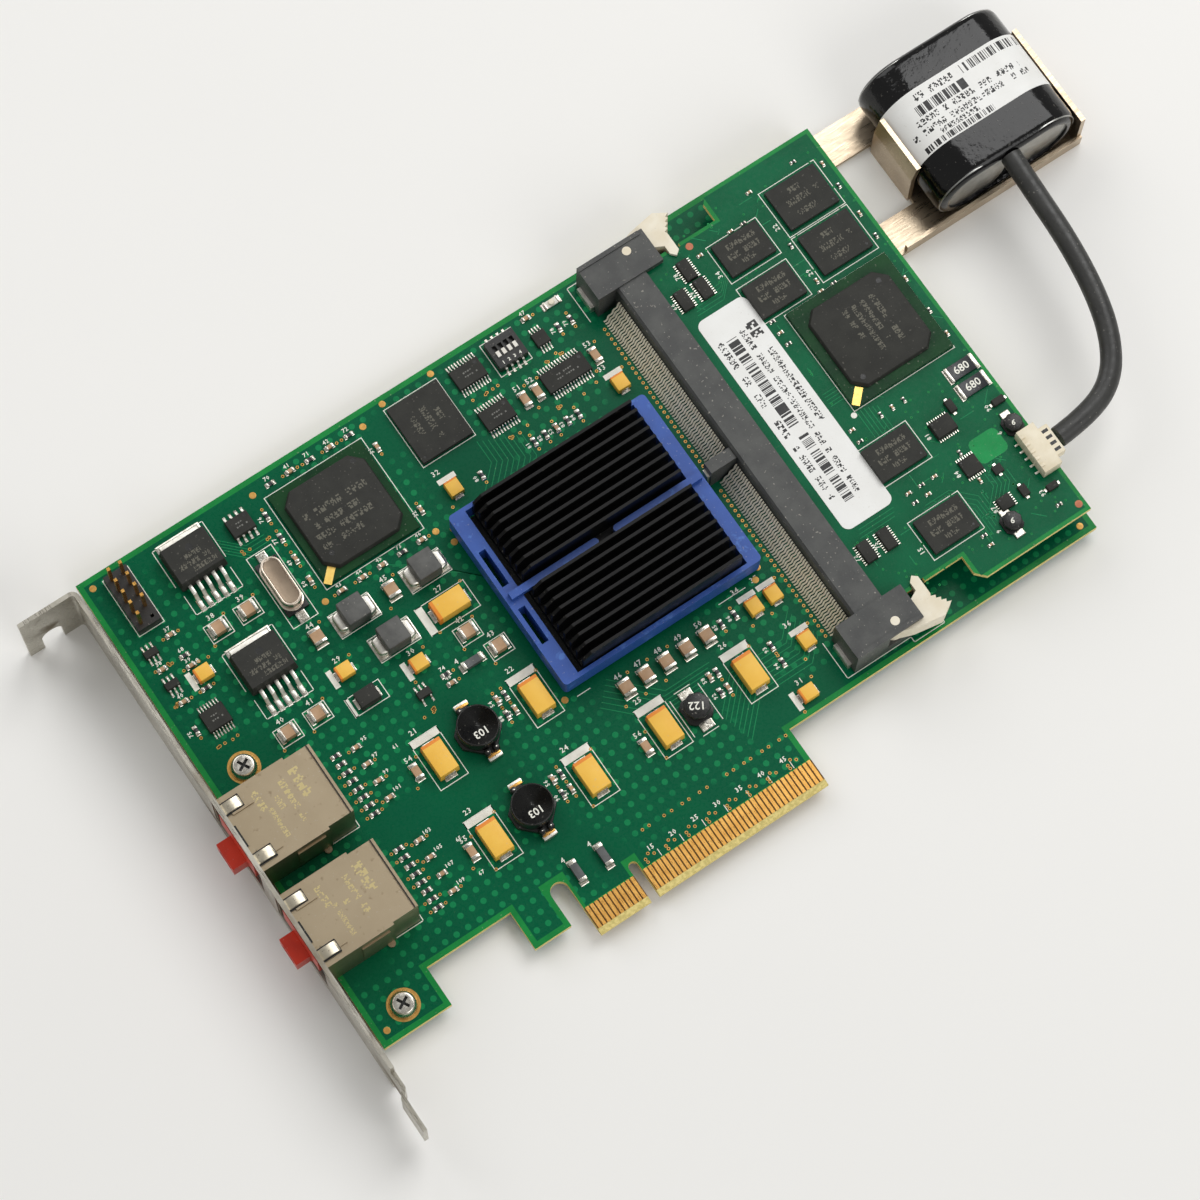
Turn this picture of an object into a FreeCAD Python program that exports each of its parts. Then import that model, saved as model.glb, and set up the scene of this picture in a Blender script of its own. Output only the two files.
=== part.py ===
import FreeCAD, Part
import math
import os
import re

import Sketcher

# A half-length storage controller card: one printed board with a gold card edge and a metal
# slot bracket, a cache module clipped flat into an angled socket, and a pack of two capacitors
# in a folded steel cradle, wired to the module by a short cable.
#
# Frame, in millimetres: X = 0 at the middle of the card edge's key notch, growing away from the
# bracket. Y = 0 at the lower end of the card edge, growing towards the top edge of the card.
# Z = 0 on the component side of the board, growing out of it. The card lies on Z = -lie_depth.

SIZES = {
    # Main board
    "card_length": 167.65,
    "card_height": 111.15,
    "key_to_end": 57.06,
    "board_thick": 1.57,
    "shoulder_y": 12.85,
    "tab_bottom": 4.5,
    "leg_right": 42.3,
    "tab_left": 23.8,
    "tab_right": 15.8,
    "short_edge_left": 12.1,
    "key_half": 0.97,
    "key_top": 8.3,
    "long_edge_right": 39.1,
    "edge_bevel": 1.25,
    "bevel_deep": 0.35,
    "finger_pitch": 1.0,
    "finger_wide": 0.7,
    "finger_long": 4.65,
    "plating": 0.05,
    # How the card lies and how its bracket is folded
    "lie_depth": 4.0,
    "bracket_sheet": 0.86,
    "bracket_gap": 1.34,
    "bracket_top": 14.4,
    "flange_drop": 4.95,
    "flange_reach": 11.8,
    "plate_bottom": 1.7,
    "tongue_end": 13.8,
    "tongue_wide": 10.2,
    "tongue_step": 1.0,
    "lug_long": 11.6,
    "lug_wide": 8.0,
    "screw_x": 7.4,
    "lower_screw_y": 9.4,
    "upper_screw_y": 63.6,
    "screw_shank": 1.45,
    "screw_head": 2.8,
    "screw_head_high": 1.9,
    # Network jacks
    "jack_long": 20.6,
    "jack_wide": 16.15,
    "jack_tall": 13.0,
    "jack_first_y": 20.3,
    "jack_pitch": 21.45,
    "jack_sheet": 0.3,
    "jack_waist": 0.5,
    "jack_waist_long": 5.5,
    "plug_wide": 11.8,
    "plug_tall": 7.6,
    "plug_low": 3.7,
    "plug_deep": 8.0,
    "grip_wide": 5.8,
    "grip_out": 3.05,
    "jack_clear": 0.1,
    "ground_pin": 0.75,
    # Processor, its heatsink and the clip frame round them
    "frame_x": 30.22,
    "frame_y": 61.65,
    "frame_wide": 44.75,
    "frame_deep": 39.9,
    "frame_low": 1.2,
    "frame_top": 6.5,
    "frame_left_strip": 3.45,
    "frame_right_strip": 2.9,
    "frame_rail": 0.9,
    "arm_high": 1.5,
    "arm_wide": 1.5,
    "arm_gap": 3.6,
    "package_wide": 37.5,
    "package_low": 0.5,
    "package_thick": 1.2,
    "lid_wide": 31.0,
    "lid_top": 3.6,
    "sink_base": 1.8,
    "sink_top": 12.0,
    "sink_clear": 0.3,
    "fin_pitch": 2.08,
    "fin_thick": 0.6,
    "fin_count": 9,
    "fin_chamfer": 1.8,
    # Network chip and flash chip
    "network_wide": 21.0,
    "network_cap": 18.25,
    "network_top": 2.2,
    # Memory socket and its latches
    "socket_from_end": 50.8,
    "socket_bar": 6.7,
    "socket_bar_long": 78.6,
    "socket_bar_top": 8.6,
    "socket_end_long": 15.0,
    "socket_end_wide": 7.65,
    "socket_end_top": 9.0,
    "contact_pitch": 0.6,
    "contact_wide": 0.34,
    "contact_reach": 3.9,
    "pivot_radius": 0.9,
    "pivot_clear": 0.05,
    "pivot_in": 0.8,
    "pivot_out": 5.35,
    "latch_low": 3.2,
    "latch_thick": 4.8,
    "latch_clear": 0.2,
    # Cache module
    "module_low": 5.93,
    "module_thick": 1.27,
    "module_neck": 82.0,
    "module_wide": 93.7,
    "module_past_end": 0.85,
    "module_wing": 25.85,
    "module_slot_deep": 4.6,
    "module_clear": 0.05,
    "notch_from_socket": 12.7,
    "notch_long": 3.0,
    "notch_deep": 2.4,
    "controller_wide": 23.0,
    "controller_cap": 19.0,
    # Capacitor pack and its cradle
    "cradle_sheet": 1.0,
    "cradle_in": 8.0,
    "cradle_y": 79.8,
    "cradle_deep": 30.3,
    "cradle_arm": 7.7,
    "pack_from_card": 11.3,
    "cell_radius": 7.9,
    "cell_long": 27.2,
    "sleeve_thick": 0.3,
    "sleeve_long": 28.5,
    "pack_clear": 0.3,
    "cable_radius": 2.15,
}

doc = FreeCAD.newDocument("raid_controller_card")
sheet = doc.addObject("Spreadsheet::Sheet", "Sizes")
for row, (alias, value) in enumerate(SIZES.items(), start=1):
    sheet.set("A%d" % row, alias)
    sheet.set("B%d" % row, str(value))
    sheet.setAlias("B%d" % row, alias)
doc.recompute()

# Places that several pieces share, worked out from the sizes.
LEFT = "(-key_to_end)"
RIGHT = "(card_length - key_to_end)"
PLATE_INNER = "(-key_to_end - bracket_gap)"
PLATE_OUTER = "(-key_to_end - bracket_gap - bracket_sheet)"
SCREW_X = "(screw_x - key_to_end)"
JACK_FRONT = "(-key_to_end - bracket_gap - bracket_sheet + 0.2)"
JACK_REAR = "(-key_to_end - bracket_gap - bracket_sheet + 0.2 + jack_long)"
FRAME_LEFT = "(frame_x - frame_wide / 2)"
FRAME_RIGHT = "(frame_x + frame_wide / 2)"
SINK_X = "(frame_x + (frame_left_strip - frame_right_strip) / 2)"
SOCKET_Y = "((card_height + shoulder_y) / 2 - 0.05)"
SOCKET_X = "(card_length - key_to_end - socket_from_end)"
SOCKET_LIP = "(card_length - key_to_end - socket_from_end + socket_bar)"
SOCKET_LOW = "((card_height + shoulder_y) / 2 - 0.05 - socket_bar_long / 2)"
MODULE_TOP = "(module_low + module_thick)"
MODULE_END = "(card_length - key_to_end - module_past_end)"
PIVOT_X = "(card_length - key_to_end - socket_from_end + socket_bar - pivot_in)"
PIVOT_Y = "((card_height + shoulder_y) / 2 - 0.05 - socket_bar_long / 2 - pivot_out)"
PACK_LEFT = "(card_length - key_to_end + pack_from_card)"
PACK_RADIUS = "(cell_radius + sleeve_thick)"
PACK_RIGHT = "(card_length - key_to_end + pack_from_card + 4 * (cell_radius + sleeve_thick))"
PACK_Z = "(cradle_sheet - lie_depth + cell_radius + sleeve_thick + 0.02)"
PACK_Y = "(cradle_y + cradle_sheet + pack_clear)"

NODES = {}


def cells(text):
    """Write the size names in an expression as references to the sheet."""
    return re.sub(r"[a-z]\w*", lambda name: "Sizes." + name.group(), str(text))


def number(text):
    """The present value of an expression."""
    return float(sheet.evalExpression(cells(text)))


def keep(name, item):
    """Make an object a sub-part: its label names its file."""
    item.Label = name
    NODES[name] = item
    return item


def put(item, x, y, z):
    """Bind an object's place to three expressions."""
    for axis, text in (("x", x), ("y", y), ("z", z)):
        item.setExpression("Placement.Base." + axis, cells(text))
    return item


def block(low, high):
    """A box between two corners given as expressions."""
    item = doc.addObject("Part::Box", "Block")
    for side, start, end in zip(("Length", "Width", "Height"), low, high):
        item.setExpression(side, cells("(%s) - (%s)" % (end, start)))
    return put(item, *low)


def rod(x, y, z, radius, height):
    """An upright cylinder standing on a point."""
    item = doc.addObject("Part::Cylinder", "Rod")
    item.setExpression("Radius", cells(radius))
    item.setExpression("Height", cells(height))
    return put(item, x, y, z)


def joined(items):
    """One solid from several that meet."""
    item = doc.addObject("Part::MultiFuse", "Joined")
    item.Shapes = items
    item.Refine = True
    return item


def less(base, tools):
    """A solid with others taken out of it."""
    item = doc.addObject("Part::Cut", "Less")
    item.Base = base
    item.Tool = tools[0] if len(tools) == 1 else joined(tools)
    item.Refine = True
    return item


def group(items):
    """Separate solids kept in one sub-part."""
    item = doc.addObject("Part::Compound", "Group")
    item.Links = items
    return item


def mirrored(source):
    """A copy reflected across the middle line of the memory socket."""
    item = doc.addObject("Part::Mirroring", "Mirrored")
    item.Source = source
    item.Normal = FreeCAD.Vector(0, 1, 0)
    item.setExpression("Base.y", cells(SOCKET_Y))
    return item


def copies(unit, places):
    """One sub-part of like solids: the unit copied to each x, y, z and turned about Z."""
    doc.recompute()
    solids = []
    for x, y, z, turn in places:
        spot = FreeCAD.Vector(number(x), number(y), number(z))
        move = FreeCAD.Placement(spot, FreeCAD.Rotation(FreeCAD.Vector(0, 0, 1), turn))
        for solid in unit.Shape.Solids:
            shape = solid.copy()
            shape.Placement = move.multiply(shape.Placement)
            solids.append(shape)
    item = doc.addObject("Part::Feature", "Copies")
    item.Shape = Part.makeCompound(solids)
    item.Placement = FreeCAD.Placement()
    return item


# Sketched solids -----------------------------------------------------------------------------


def tie(sketch, kind, index, point, text):
    """Bind one coordinate of a sketch point, measured from the origin, to an expression."""
    rule = sketch.addConstraint(Sketcher.Constraint(kind, -1, 1, index, point, number(text)))
    sketch.setExpression("Constraints[%d]" % rule, cells(text))


def draw_circle(sketch, across, up, radius):
    """A circle whose centre and radius are bound to expressions."""
    centre = FreeCAD.Vector(number(across), number(up), 0)
    ring = Part.Circle(centre, FreeCAD.Vector(0, 0, 1), number(radius))
    index = sketch.addGeometry(ring, False)
    tie(sketch, "DistanceX", index, 3, across)
    tie(sketch, "DistanceY", index, 3, up)
    rule = sketch.addConstraint(Sketcher.Constraint("Radius", index, number(radius)))
    sketch.setExpression("Constraints[%d]" % rule, cells(radius))


def draw_outline(sketch, corners):
    """A closed loop. A corner marked 'left' or 'right' is reached by a half circle that bends
    that way as one walks round the loop."""
    spots = [FreeCAD.Vector(number(corner[0]), number(corner[1]), 0) for corner in corners]
    edges = []
    for place, corner in enumerate(corners):
        start = spots[place - 1]
        end = spots[place]
        if len(corner) == 2:
            index = sketch.addGeometry(Part.LineSegment(start, end), False)
            edges.append((index, 1, 2))
            continue
        middle = (start + end) * 0.5
        first = start if corner[2] == "left" else end
        angle = math.atan2(first.y - middle.y, first.x - middle.x)
        ring = Part.Circle(middle, FreeCAD.Vector(0, 0, 1), start.distanceToPoint(end) / 2)
        index = sketch.addGeometry(Part.ArcOfCircle(ring, angle, angle + math.pi), False)
        edges.append((index, 1, 2) if corner[2] == "left" else (index, 2, 1))
    for place, (index, _, end_point) in enumerate(edges):
        following, start_point, _ = edges[(place + 1) % len(edges)]
        sketch.addConstraint(Sketcher.Constraint("Coincident", index, end_point, following, start_point))
    for place, (index, _, end_point) in enumerate(edges):
        corner = corners[place]
        tie(sketch, "DistanceX", index, end_point, corner[0])
        tie(sketch, "DistanceY", index, end_point, corner[1])
        if len(corner) == 3:
            flat = abs(spots[place].y - spots[place - 1].y) < abs(spots[place].x - spots[place - 1].x)
            side = 1 if flat else 0
            middle = "(%s + %s) / 2" % (corner[side], corners[place - 1][side])
            tie(sketch, "DistanceY" if flat else "DistanceX", index, 3, middle)


def origin_part(body, role):
    """An axis or plane of the body's own origin."""
    return next(item for item in body.Origin.OriginFeatures if item.Role == role)


def sketch_on(body, plane, start, loops):
    """A sketch parallel to an origin plane. In XZ the sheet looks along +Y, X to the right."""
    sketch = body.newObject("Sketcher::SketchObject", "Sketch")
    sketch.AttachmentSupport = [(origin_part(body, plane + "_Plane"), "")]
    sketch.MapMode = "FlatFace"
    offset = "-(%s)" % start if plane == "XZ" else start
    sketch.setExpression("AttachmentOffset.Base.z", cells(offset))
    for loop in loops:
        if loop[0] == "circle":
            draw_circle(sketch, *loop[1:])
        else:
            draw_outline(sketch, loop)
    return sketch


def pad(plane, start, depth, loops, body=None):
    """Material added from a plane towards its positive axis."""
    body = body or doc.addObject("PartDesign::Body", "Body")
    feature = body.newObject("PartDesign::Pad", "Pad")
    feature.Profile = sketch_on(body, plane, start, loops)
    feature.setExpression("Length", cells(depth))
    feature.Reversed = plane == "XZ"
    body.Tip = feature
    return body


def pocket(body, plane, start, depth, loops):
    """Material cut from a plane towards its positive axis."""
    doc.recompute()
    before = body.Shape.Volume
    feature = body.newObject("PartDesign::Pocket", "Pocket")
    feature.Profile = sketch_on(body, plane, start, loops)
    feature.setExpression("Length", cells(depth))
    feature.Reversed = plane != "XZ"
    body.Tip = feature
    doc.recompute()
    if body.Shape.Volume > before - 1e-6:
        raise RuntimeError("a pocket in %s cuts nothing" % body.Name)
    return body


def repeat(body, role, spacing, count):
    """The body's last feature again, in a row along an origin axis."""
    feature = body.newObject("PartDesign::LinearPattern", "Row")
    feature.Originals = [body.Tip]
    feature.Direction = (origin_part(body, role), [""])
    feature.setExpression("Length", cells("(%s) * ((%s) - 1)" % (spacing, count)))
    feature.setExpression("Occurrences", cells(count))
    body.Tip = feature
    return body


def upright_edges(shape, spots):
    """Names of the edges along Z that stand on the given points."""
    names = []
    for place, edge in enumerate(shape.Edges, start=1):
        ends = [vertex.Point for vertex in edge.Vertexes]
        if len(ends) != 2 or abs(ends[0].z - ends[1].z) < 1e-4:
            continue
        for x, y in spots:
            spot = FreeCAD.Vector(number(x), number(y), 0)
            if all(math.hypot(end.x - spot.x, end.y - spot.y) < 1e-3 for end in ends):
                names.append("Edge%d" % place)
    return names


def rounded(body, radius, spots):
    """Round the upright edges on the given points."""
    doc.recompute()
    base = body.Tip
    names = upright_edges(base.Shape, spots)
    if len(names) < len(spots):
        raise RuntimeError("an edge to round is missing in %s" % body.Name)
    feature = body.newObject("PartDesign::Fillet", "Rounded")
    feature.Base = (base, names)
    feature.setExpression("Radius", cells(radius))
    body.Tip = feature
    return body


def rectangle(left, low, right, high):
    """A rectangular outline."""
    return [(left, low), (right, low), (right, high), (left, high)]


def square(x, y, half):
    """A square outline round a centre."""
    low = ("%s - %s" % (x, half), "%s - %s" % (y, half))
    high = ("%s + %s" % (x, half), "%s + %s" % (y, half))
    return rectangle(*low, *high)


def cut_square(x, y, wide, corner):
    """A square outline round a centre with its four corners cut off."""
    half = "(%s) / 2" % wide
    inner = "((%s) / 2 - %s)" % (wide, corner)
    signs = ((1, -1, 0), (1, 1, 1), (-1, 1, 0), (-1, -1, 1))
    loop = []
    for across, up, turned in signs:
        first = ("%s + %d * %s" % (x, across, inner), "%s + %d * %s" % (y, up, half))
        second = ("%s + %d * %s" % (x, across, half), "%s + %d * %s" % (y, up, inner))
        loop += [second, first] if turned else [first, second]
    return loop


# Main board ----------------------------------------------------------------------------------

HEADER_X = -50.85
HEADER_Y = 97.45
HEADER_STEP = 2.54
GROUND_PIN_X = "(-key_to_end + 11.86)"


def jack_y(number_up):
    """Lower side of a jack, counted from the card edge."""
    return "(jack_first_y + %d * jack_pitch)" % number_up


def ground_pin_spots():
    """Centres of the holes for the jacks' ground pins."""
    for jack in (0, 1):
        yield GROUND_PIN_X, "%s - 0.2" % jack_y(jack)
        yield GROUND_PIN_X, "%s + jack_wide + 0.2" % jack_y(jack)


def screw_spots():
    """Centres of the holes for the bracket's screws."""
    return ((SCREW_X, "lower_screw_y"), (SCREW_X, "upper_screw_y"))


def cradle_screw_spots():
    """Centres of the holes for the cradle's screws."""
    x = "(%s - cradle_in / 2)" % RIGHT
    return ((x, "cradle_y + cradle_arm / 2"), (x, "cradle_y + cradle_deep - cradle_arm / 2"))


def header_spots():
    """Centres of the pin header's ten places."""
    for column in range(2):
        for place in range(5):
            yield HEADER_X + HEADER_STEP * column, HEADER_Y + HEADER_STEP * place


def main_board():
    """The laminate: card edge with its key notch, retention slot, recess, legs and holes."""
    outline = [
        (LEFT, "card_height"),
        (LEFT, "tab_bottom"),
        ("-leg_right", "tab_bottom"),
        ("-leg_right", "shoulder_y"),
        ("-tab_left", "shoulder_y"),
        ("-tab_left", "tab_bottom"),
        ("-tab_right", "tab_bottom"),
        ("-tab_right", "shoulder_y - (tab_right - short_edge_left) / 2"),
        ("-short_edge_left", "shoulder_y - (tab_right - short_edge_left) / 2", "right"),
        ("-short_edge_left", "0"),
        ("-key_half", "0"),
        ("-key_half", "key_top - key_half"),
        ("key_half", "key_top - key_half", "right"),
        ("key_half", "0"),
        ("long_edge_right", "0"),
        ("long_edge_right", "shoulder_y"),
        (RIGHT, "shoulder_y"),
        (RIGHT, "card_height"),
    ]
    board = pad("XY", "-board_thick", "board_thick", [outline])
    bevels = [
        [("-0.1", "-bevel_deep"), ("0", "-bevel_deep"), ("edge_bevel", "0"), ("edge_bevel", "0.1"),
         ("-0.1", "0.1")],
        [("-0.1", "-board_thick - 0.1"), ("edge_bevel", "-board_thick - 0.1"),
         ("edge_bevel", "-board_thick"), ("0", "bevel_deep - board_thick"),
         ("-0.1", "bevel_deep - board_thick")],
    ]
    pocket(board, "YZ", "-short_edge_left", "short_edge_left + long_edge_right", bevels)
    holes = [("circle", x, y, "screw_shank + 0.15") for x, y in screw_spots()]
    holes += [("circle", x, y, "screw_shank - 0.1") for x, y in cradle_screw_spots()]
    holes += [("circle", x, y, "ground_pin + 0.05") for x, y in ground_pin_spots()]
    holes += [square(x, y, "0.33") for x, y in header_spots()]
    pocket(board, "XY", "-board_thick - 1", "board_thick + 2", holes)
    return board


def edge_contacts():
    """Gold contacts on both faces of the two stretches of card edge."""
    pads = []
    for place in (*range(-11, 0), *range(2, 40)):
        middle = "(%d - 0.5) * finger_pitch" % place
        for base in ("0", "-board_thick - plating"):
            corner = ("%s - finger_wide / 2" % middle, "edge_bevel", base)
            far = ("%s + finger_wide / 2" % middle, "edge_bevel + finger_long", base + " + plating")
            pads.append(block(corner, far))
    return group(pads)


# Bracket and its screws ----------------------------------------------------------------------


def io_bracket():
    """A folded sheet: flat plate, flange with its screw notch, stepped tongue and two lugs."""
    flange_y = "(card_height - flange_drop)"
    inner = PLATE_INNER
    outer = PLATE_OUTER
    fold = [
        (inner, "-plate_bottom"),
        (inner, "%s" % flange_y),
        ("%s - flange_reach" % outer, flange_y),
        ("%s - flange_reach" % outer, "%s - bracket_sheet" % flange_y),
        (outer, "%s - bracket_sheet" % flange_y),
        (outer, "-plate_bottom"),
    ]
    plate = pad("XY", "-lie_depth", "lie_depth + bracket_top", [fold])
    rounded(plate, "1.6", [(inner, flange_y)])
    rounded(plate, "0.7", [(outer, "%s - bracket_sheet" % flange_y)])
    windows = []
    for jack in (0, 1):
        low = "%s - 0.25" % jack_y(jack)
        high = "%s + jack_wide + 0.25" % jack_y(jack)
        windows.append(rectangle(low, "-0.3", high, "jack_tall + 0.25"))
    pocket(plate, "YZ", outer + " - 0.5", "bracket_sheet + 1", windows)
    notch_x = "(%s - 6.4)" % outer
    notch = [
        ("%s - 2.2" % notch_x, "-lie_depth - 1"),
        ("%s + 2.2" % notch_x, "-lie_depth - 1"),
        ("%s + 2.2" % notch_x, "1.2"),
        ("%s - 2.2" % notch_x, "1.2", "left"),
    ]
    pocket(plate, "XZ", flange_y + " - bracket_sheet - 0.5", "bracket_sheet + 1", [notch])
    tongue = pad("XY", "(bracket_top - lie_depth - tongue_wide) / 2", "tongue_wide", [[
        (inner, "-plate_bottom"),
        (outer, "-plate_bottom"),
        (outer, "-5.2"),
        ("%s - tongue_step" % outer, "-6.6"),
        ("%s - tongue_step" % outer, "-tongue_end"),
        ("%s - tongue_step" % inner, "-tongue_end"),
        ("%s - tongue_step" % inner, "-6.6"),
        (inner, "-5.2"),
    ]])
    lugs = []
    for x, y in screw_spots():
        low = (inner, "%s - lug_wide / 2" % y, "-board_thick - bracket_sheet")
        high = ("%s + lug_long" % inner, "%s + lug_wide / 2" % y, "-board_thick")
        hole = rod(x, y, "-board_thick - bracket_sheet - 1", "screw_shank + 0.05", "bracket_sheet + 2")
        lugs.append(less(block(low, high), [hole]))
    return joined([plate, tongue] + lugs)


def pan_screw(x, y, seat, shank, shank_long, head, head_high):
    """A pan-head screw, head down on its seat."""
    body = doc.addObject("PartDesign::Body", "Screw")
    profile = [
        ("0", "-(%s)" % shank_long),
        (shank, "-(%s)" % shank_long),
        (shank, "0"),
        (head, "0"),
        ("%s * 0.95" % head, "%s * 0.55" % head_high),
        ("%s * 0.7" % head, head_high),
        ("0", head_high),
    ]
    feature = body.newObject("PartDesign::Revolution", "Turned")
    feature.Profile = sketch_on(body, "XZ", "0", [profile])
    feature.ReferenceAxis = (origin_part(body, "Z_Axis"), [""])
    feature.Angle = 360
    body.Tip = feature
    return put(body, x, y, seat)


def board_screws():
    """The two screws of the bracket's lugs and the two smaller ones of the cradle."""
    lug_size = ("screw_shank", "board_thick + bracket_sheet", "screw_head", "screw_head_high")
    cradle_size = ("1.25", "lie_depth - 0.1", "2.3", "1.5")
    screws = [pan_screw(x, y, "0", *lug_size) for x, y in screw_spots()]
    screws += [pan_screw(x, y, "0", *cradle_size) for x, y in cradle_screw_spots()]
    return group(screws)


# Network jacks -------------------------------------------------------------------------------


def jack_outline(low, inset, front):
    """Plan of a jack: its rear is a little narrower than its front."""
    high = "(%s + jack_wide)" % low
    waist = "(%s - jack_waist_long)" % JACK_REAR
    rear = "%s - %s" % (JACK_REAR, inset)
    step = "jack_waist + %s" % inset
    return [
        (front, "%s + %s" % (low, inset)),
        ("%s - %s" % (waist, inset), "%s + %s" % (low, inset)),
        ("%s - %s" % (waist, inset), "%s + %s" % (low, step)),
        (rear, "%s + %s" % (low, step)),
        (rear, "%s - (%s)" % (high, step)),
        ("%s - %s" % (waist, inset), "%s - (%s)" % (high, step)),
        ("%s - %s" % (waist, inset), "%s - %s" % (high, inset)),
        (front, "%s - %s" % (high, inset)),
    ]


def jack_shield(number_up):
    """Folded tin can round a jack, open at the front and below, with springs and ground pins."""
    low = jack_y(number_up)
    can = pad("XY", "0", "jack_tall", [jack_outline(low, "0", JACK_FRONT)])
    springs = []
    for across in ("3.1", "jack_wide - 3.1"):
        springs.append(rectangle(JACK_FRONT + " + 1.85", "%s + %s - 1.15" % (low, across),
                                 JACK_FRONT + " + 6.25", "%s + %s + 1.15" % (low, across)))
    pad("XY", "jack_tall", "0.35", springs, can)
    panel = rectangle(JACK_REAR + " - 12.6", "2.6", JACK_REAR + " - 6.6", "10.4")
    pad("XZ", low + " - 0.3", "0.3", [panel], can)
    pad("XZ", low + " + jack_wide", "0.3", [panel], can)
    feet = [("circle", GROUND_PIN_X, low + " - 0.2", "ground_pin"),
            ("circle", GROUND_PIN_X, low + " + jack_wide + 0.2", "ground_pin")]
    pins = pad("XY", "-board_thick - 0.8", "board_thick + 1.4", [feet[0]])
    others = pad("XY", "-board_thick - 0.8", "board_thick + 1.4", [feet[1]])
    inner = jack_outline(low, "jack_sheet", JACK_FRONT + " - 1")
    hollow = pad("XY", "-5", "jack_tall - jack_sheet + 5", [inner])
    return less(joined([can, pins, others]), [hollow])


def opening(low, grown, floor):
    """Front view of a jack's opening: the plug's place with the latch channel under it."""
    middle = "(%s + jack_wide / 2)" % low
    half = "(plug_wide / 2 + %s)" % grown
    latch = "(grip_wide / 2 + 0.2 + %s)" % grown
    return [
        ("%s - %s" % (middle, latch), floor),
        ("%s + %s" % (middle, latch), floor),
        ("%s + %s" % (middle, latch), "plug_low - %s" % grown),
        ("%s + %s" % (middle, half), "plug_low - %s" % grown),
        ("%s + %s" % (middle, half), "plug_low + plug_tall + %s" % grown),
        ("%s - %s" % (middle, half), "plug_low + plug_tall + %s" % grown),
        ("%s - %s" % (middle, half), "plug_low - %s" % grown),
        ("%s - %s" % (middle, latch), "plug_low - %s" % grown),
    ]


CAVITY_DEEP = "(plug_deep + 5)"


def jack_housing(number_up):
    """Moulded insert inside the can, with the opening that takes a plug."""
    low = jack_y(number_up)
    inset = "(jack_sheet + 0.05)"
    front = JACK_FRONT + " + 0.4"
    insert = pad("XY", "0.05", "jack_tall - jack_sheet - 0.1", [jack_outline(low, inset, front)])
    pocket(insert, "YZ", JACK_FRONT, "%s + 0.4" % CAVITY_DEEP, [opening(low, "jack_clear", "1")])
    return insert


def jack_contacts():
    """Eight spring contacts at the back of each opening."""
    wires = []
    back = "(%s + 0.4 + %s)" % (JACK_FRONT, CAVITY_DEEP)
    for jack in (0, 1):
        for place in range(8):
            y = "(%s + jack_wide / 2 + (%.1f) * 1.02)" % (jack_y(jack), place - 3.5)
            wires.append(block(("%s - 4" % back, "%s - 0.18" % y, "plug_low + plug_tall - 1.2"),
                               (back, "%s + 0.18" % y, "plug_low + plug_tall - 0.9")))
    return group(wires)


def dust_plug(number_up):
    """Soft plug pushed into a jack, with a narrow grip that stands out of the bracket."""
    low = jack_y(number_up)
    middle = "(%s + jack_wide / 2)" % low
    front = PLATE_OUTER
    stop = pad("YZ", front, "plug_deep", [opening(low, "0", "1.2")])
    grip = rectangle("%s - grip_wide / 2" % middle, "1.3", "%s + grip_wide / 2" % middle, "5.2")
    pad("YZ", front + " - grip_out", "grip_out", [grip], stop)
    hollow = rectangle("%s - grip_wide / 2 + 0.9" % middle, "2.2",
                       "%s + grip_wide / 2 - 0.9" % middle, "4.3")
    pocket(stop, "YZ", front + " - grip_out", "grip_out + 2", [hollow])
    return stop


# Processor, heatsink and clip frame ----------------------------------------------------------


def processor_package():
    """Ball-grid package: ball field, laminate and metal lid in one sealed piece."""
    field = square(SINK_X, "frame_y", "(package_wide / 2 - 1.6)")
    package = pad("XY", "0", "package_low", [field])
    pad("XY", "package_low", "package_thick", [square(SINK_X, "frame_y", "package_wide / 2")], package)
    lid_low = "(package_low + package_thick)"
    pad("XY", lid_low, "lid_top - " + lid_low, [square(SINK_X, "frame_y", "lid_wide / 2")], package)
    return package


def heatsink():
    """Base plate with two banks of upright fins, their ends bevelled on the bracket side."""
    left = "(%s + frame_left_strip + 1.5)" % FRAME_LEFT
    right = "(%s - frame_right_strip - 1.1)" % FRAME_RIGHT
    low = "(frame_y - frame_deep / 2 + frame_rail + sink_clear)"
    high = "(frame_y + frame_deep / 2 - frame_rail - sink_clear)"
    base = pad("XY", "lid_top", "sink_base", [rectangle(left, low, right, high)])
    floor = "(lid_top + sink_base)"
    fin = [
        (left, floor),
        (right, floor),
        (right, "sink_top"),
        ("%s + fin_chamfer" % left, "sink_top"),
        (left, "sink_top - fin_chamfer"),
    ]
    pad("XZ", low, "fin_thick", [fin], base)
    repeat(base, "Y_Axis", "fin_pitch", "fin_count")
    upper_start = "(%s - fin_pitch * (fin_count - 1) - fin_thick)" % high
    pad("XZ", upper_start, "fin_thick", [fin], base)
    repeat(base, "Y_Axis", "fin_pitch", "fin_count")
    return base


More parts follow.
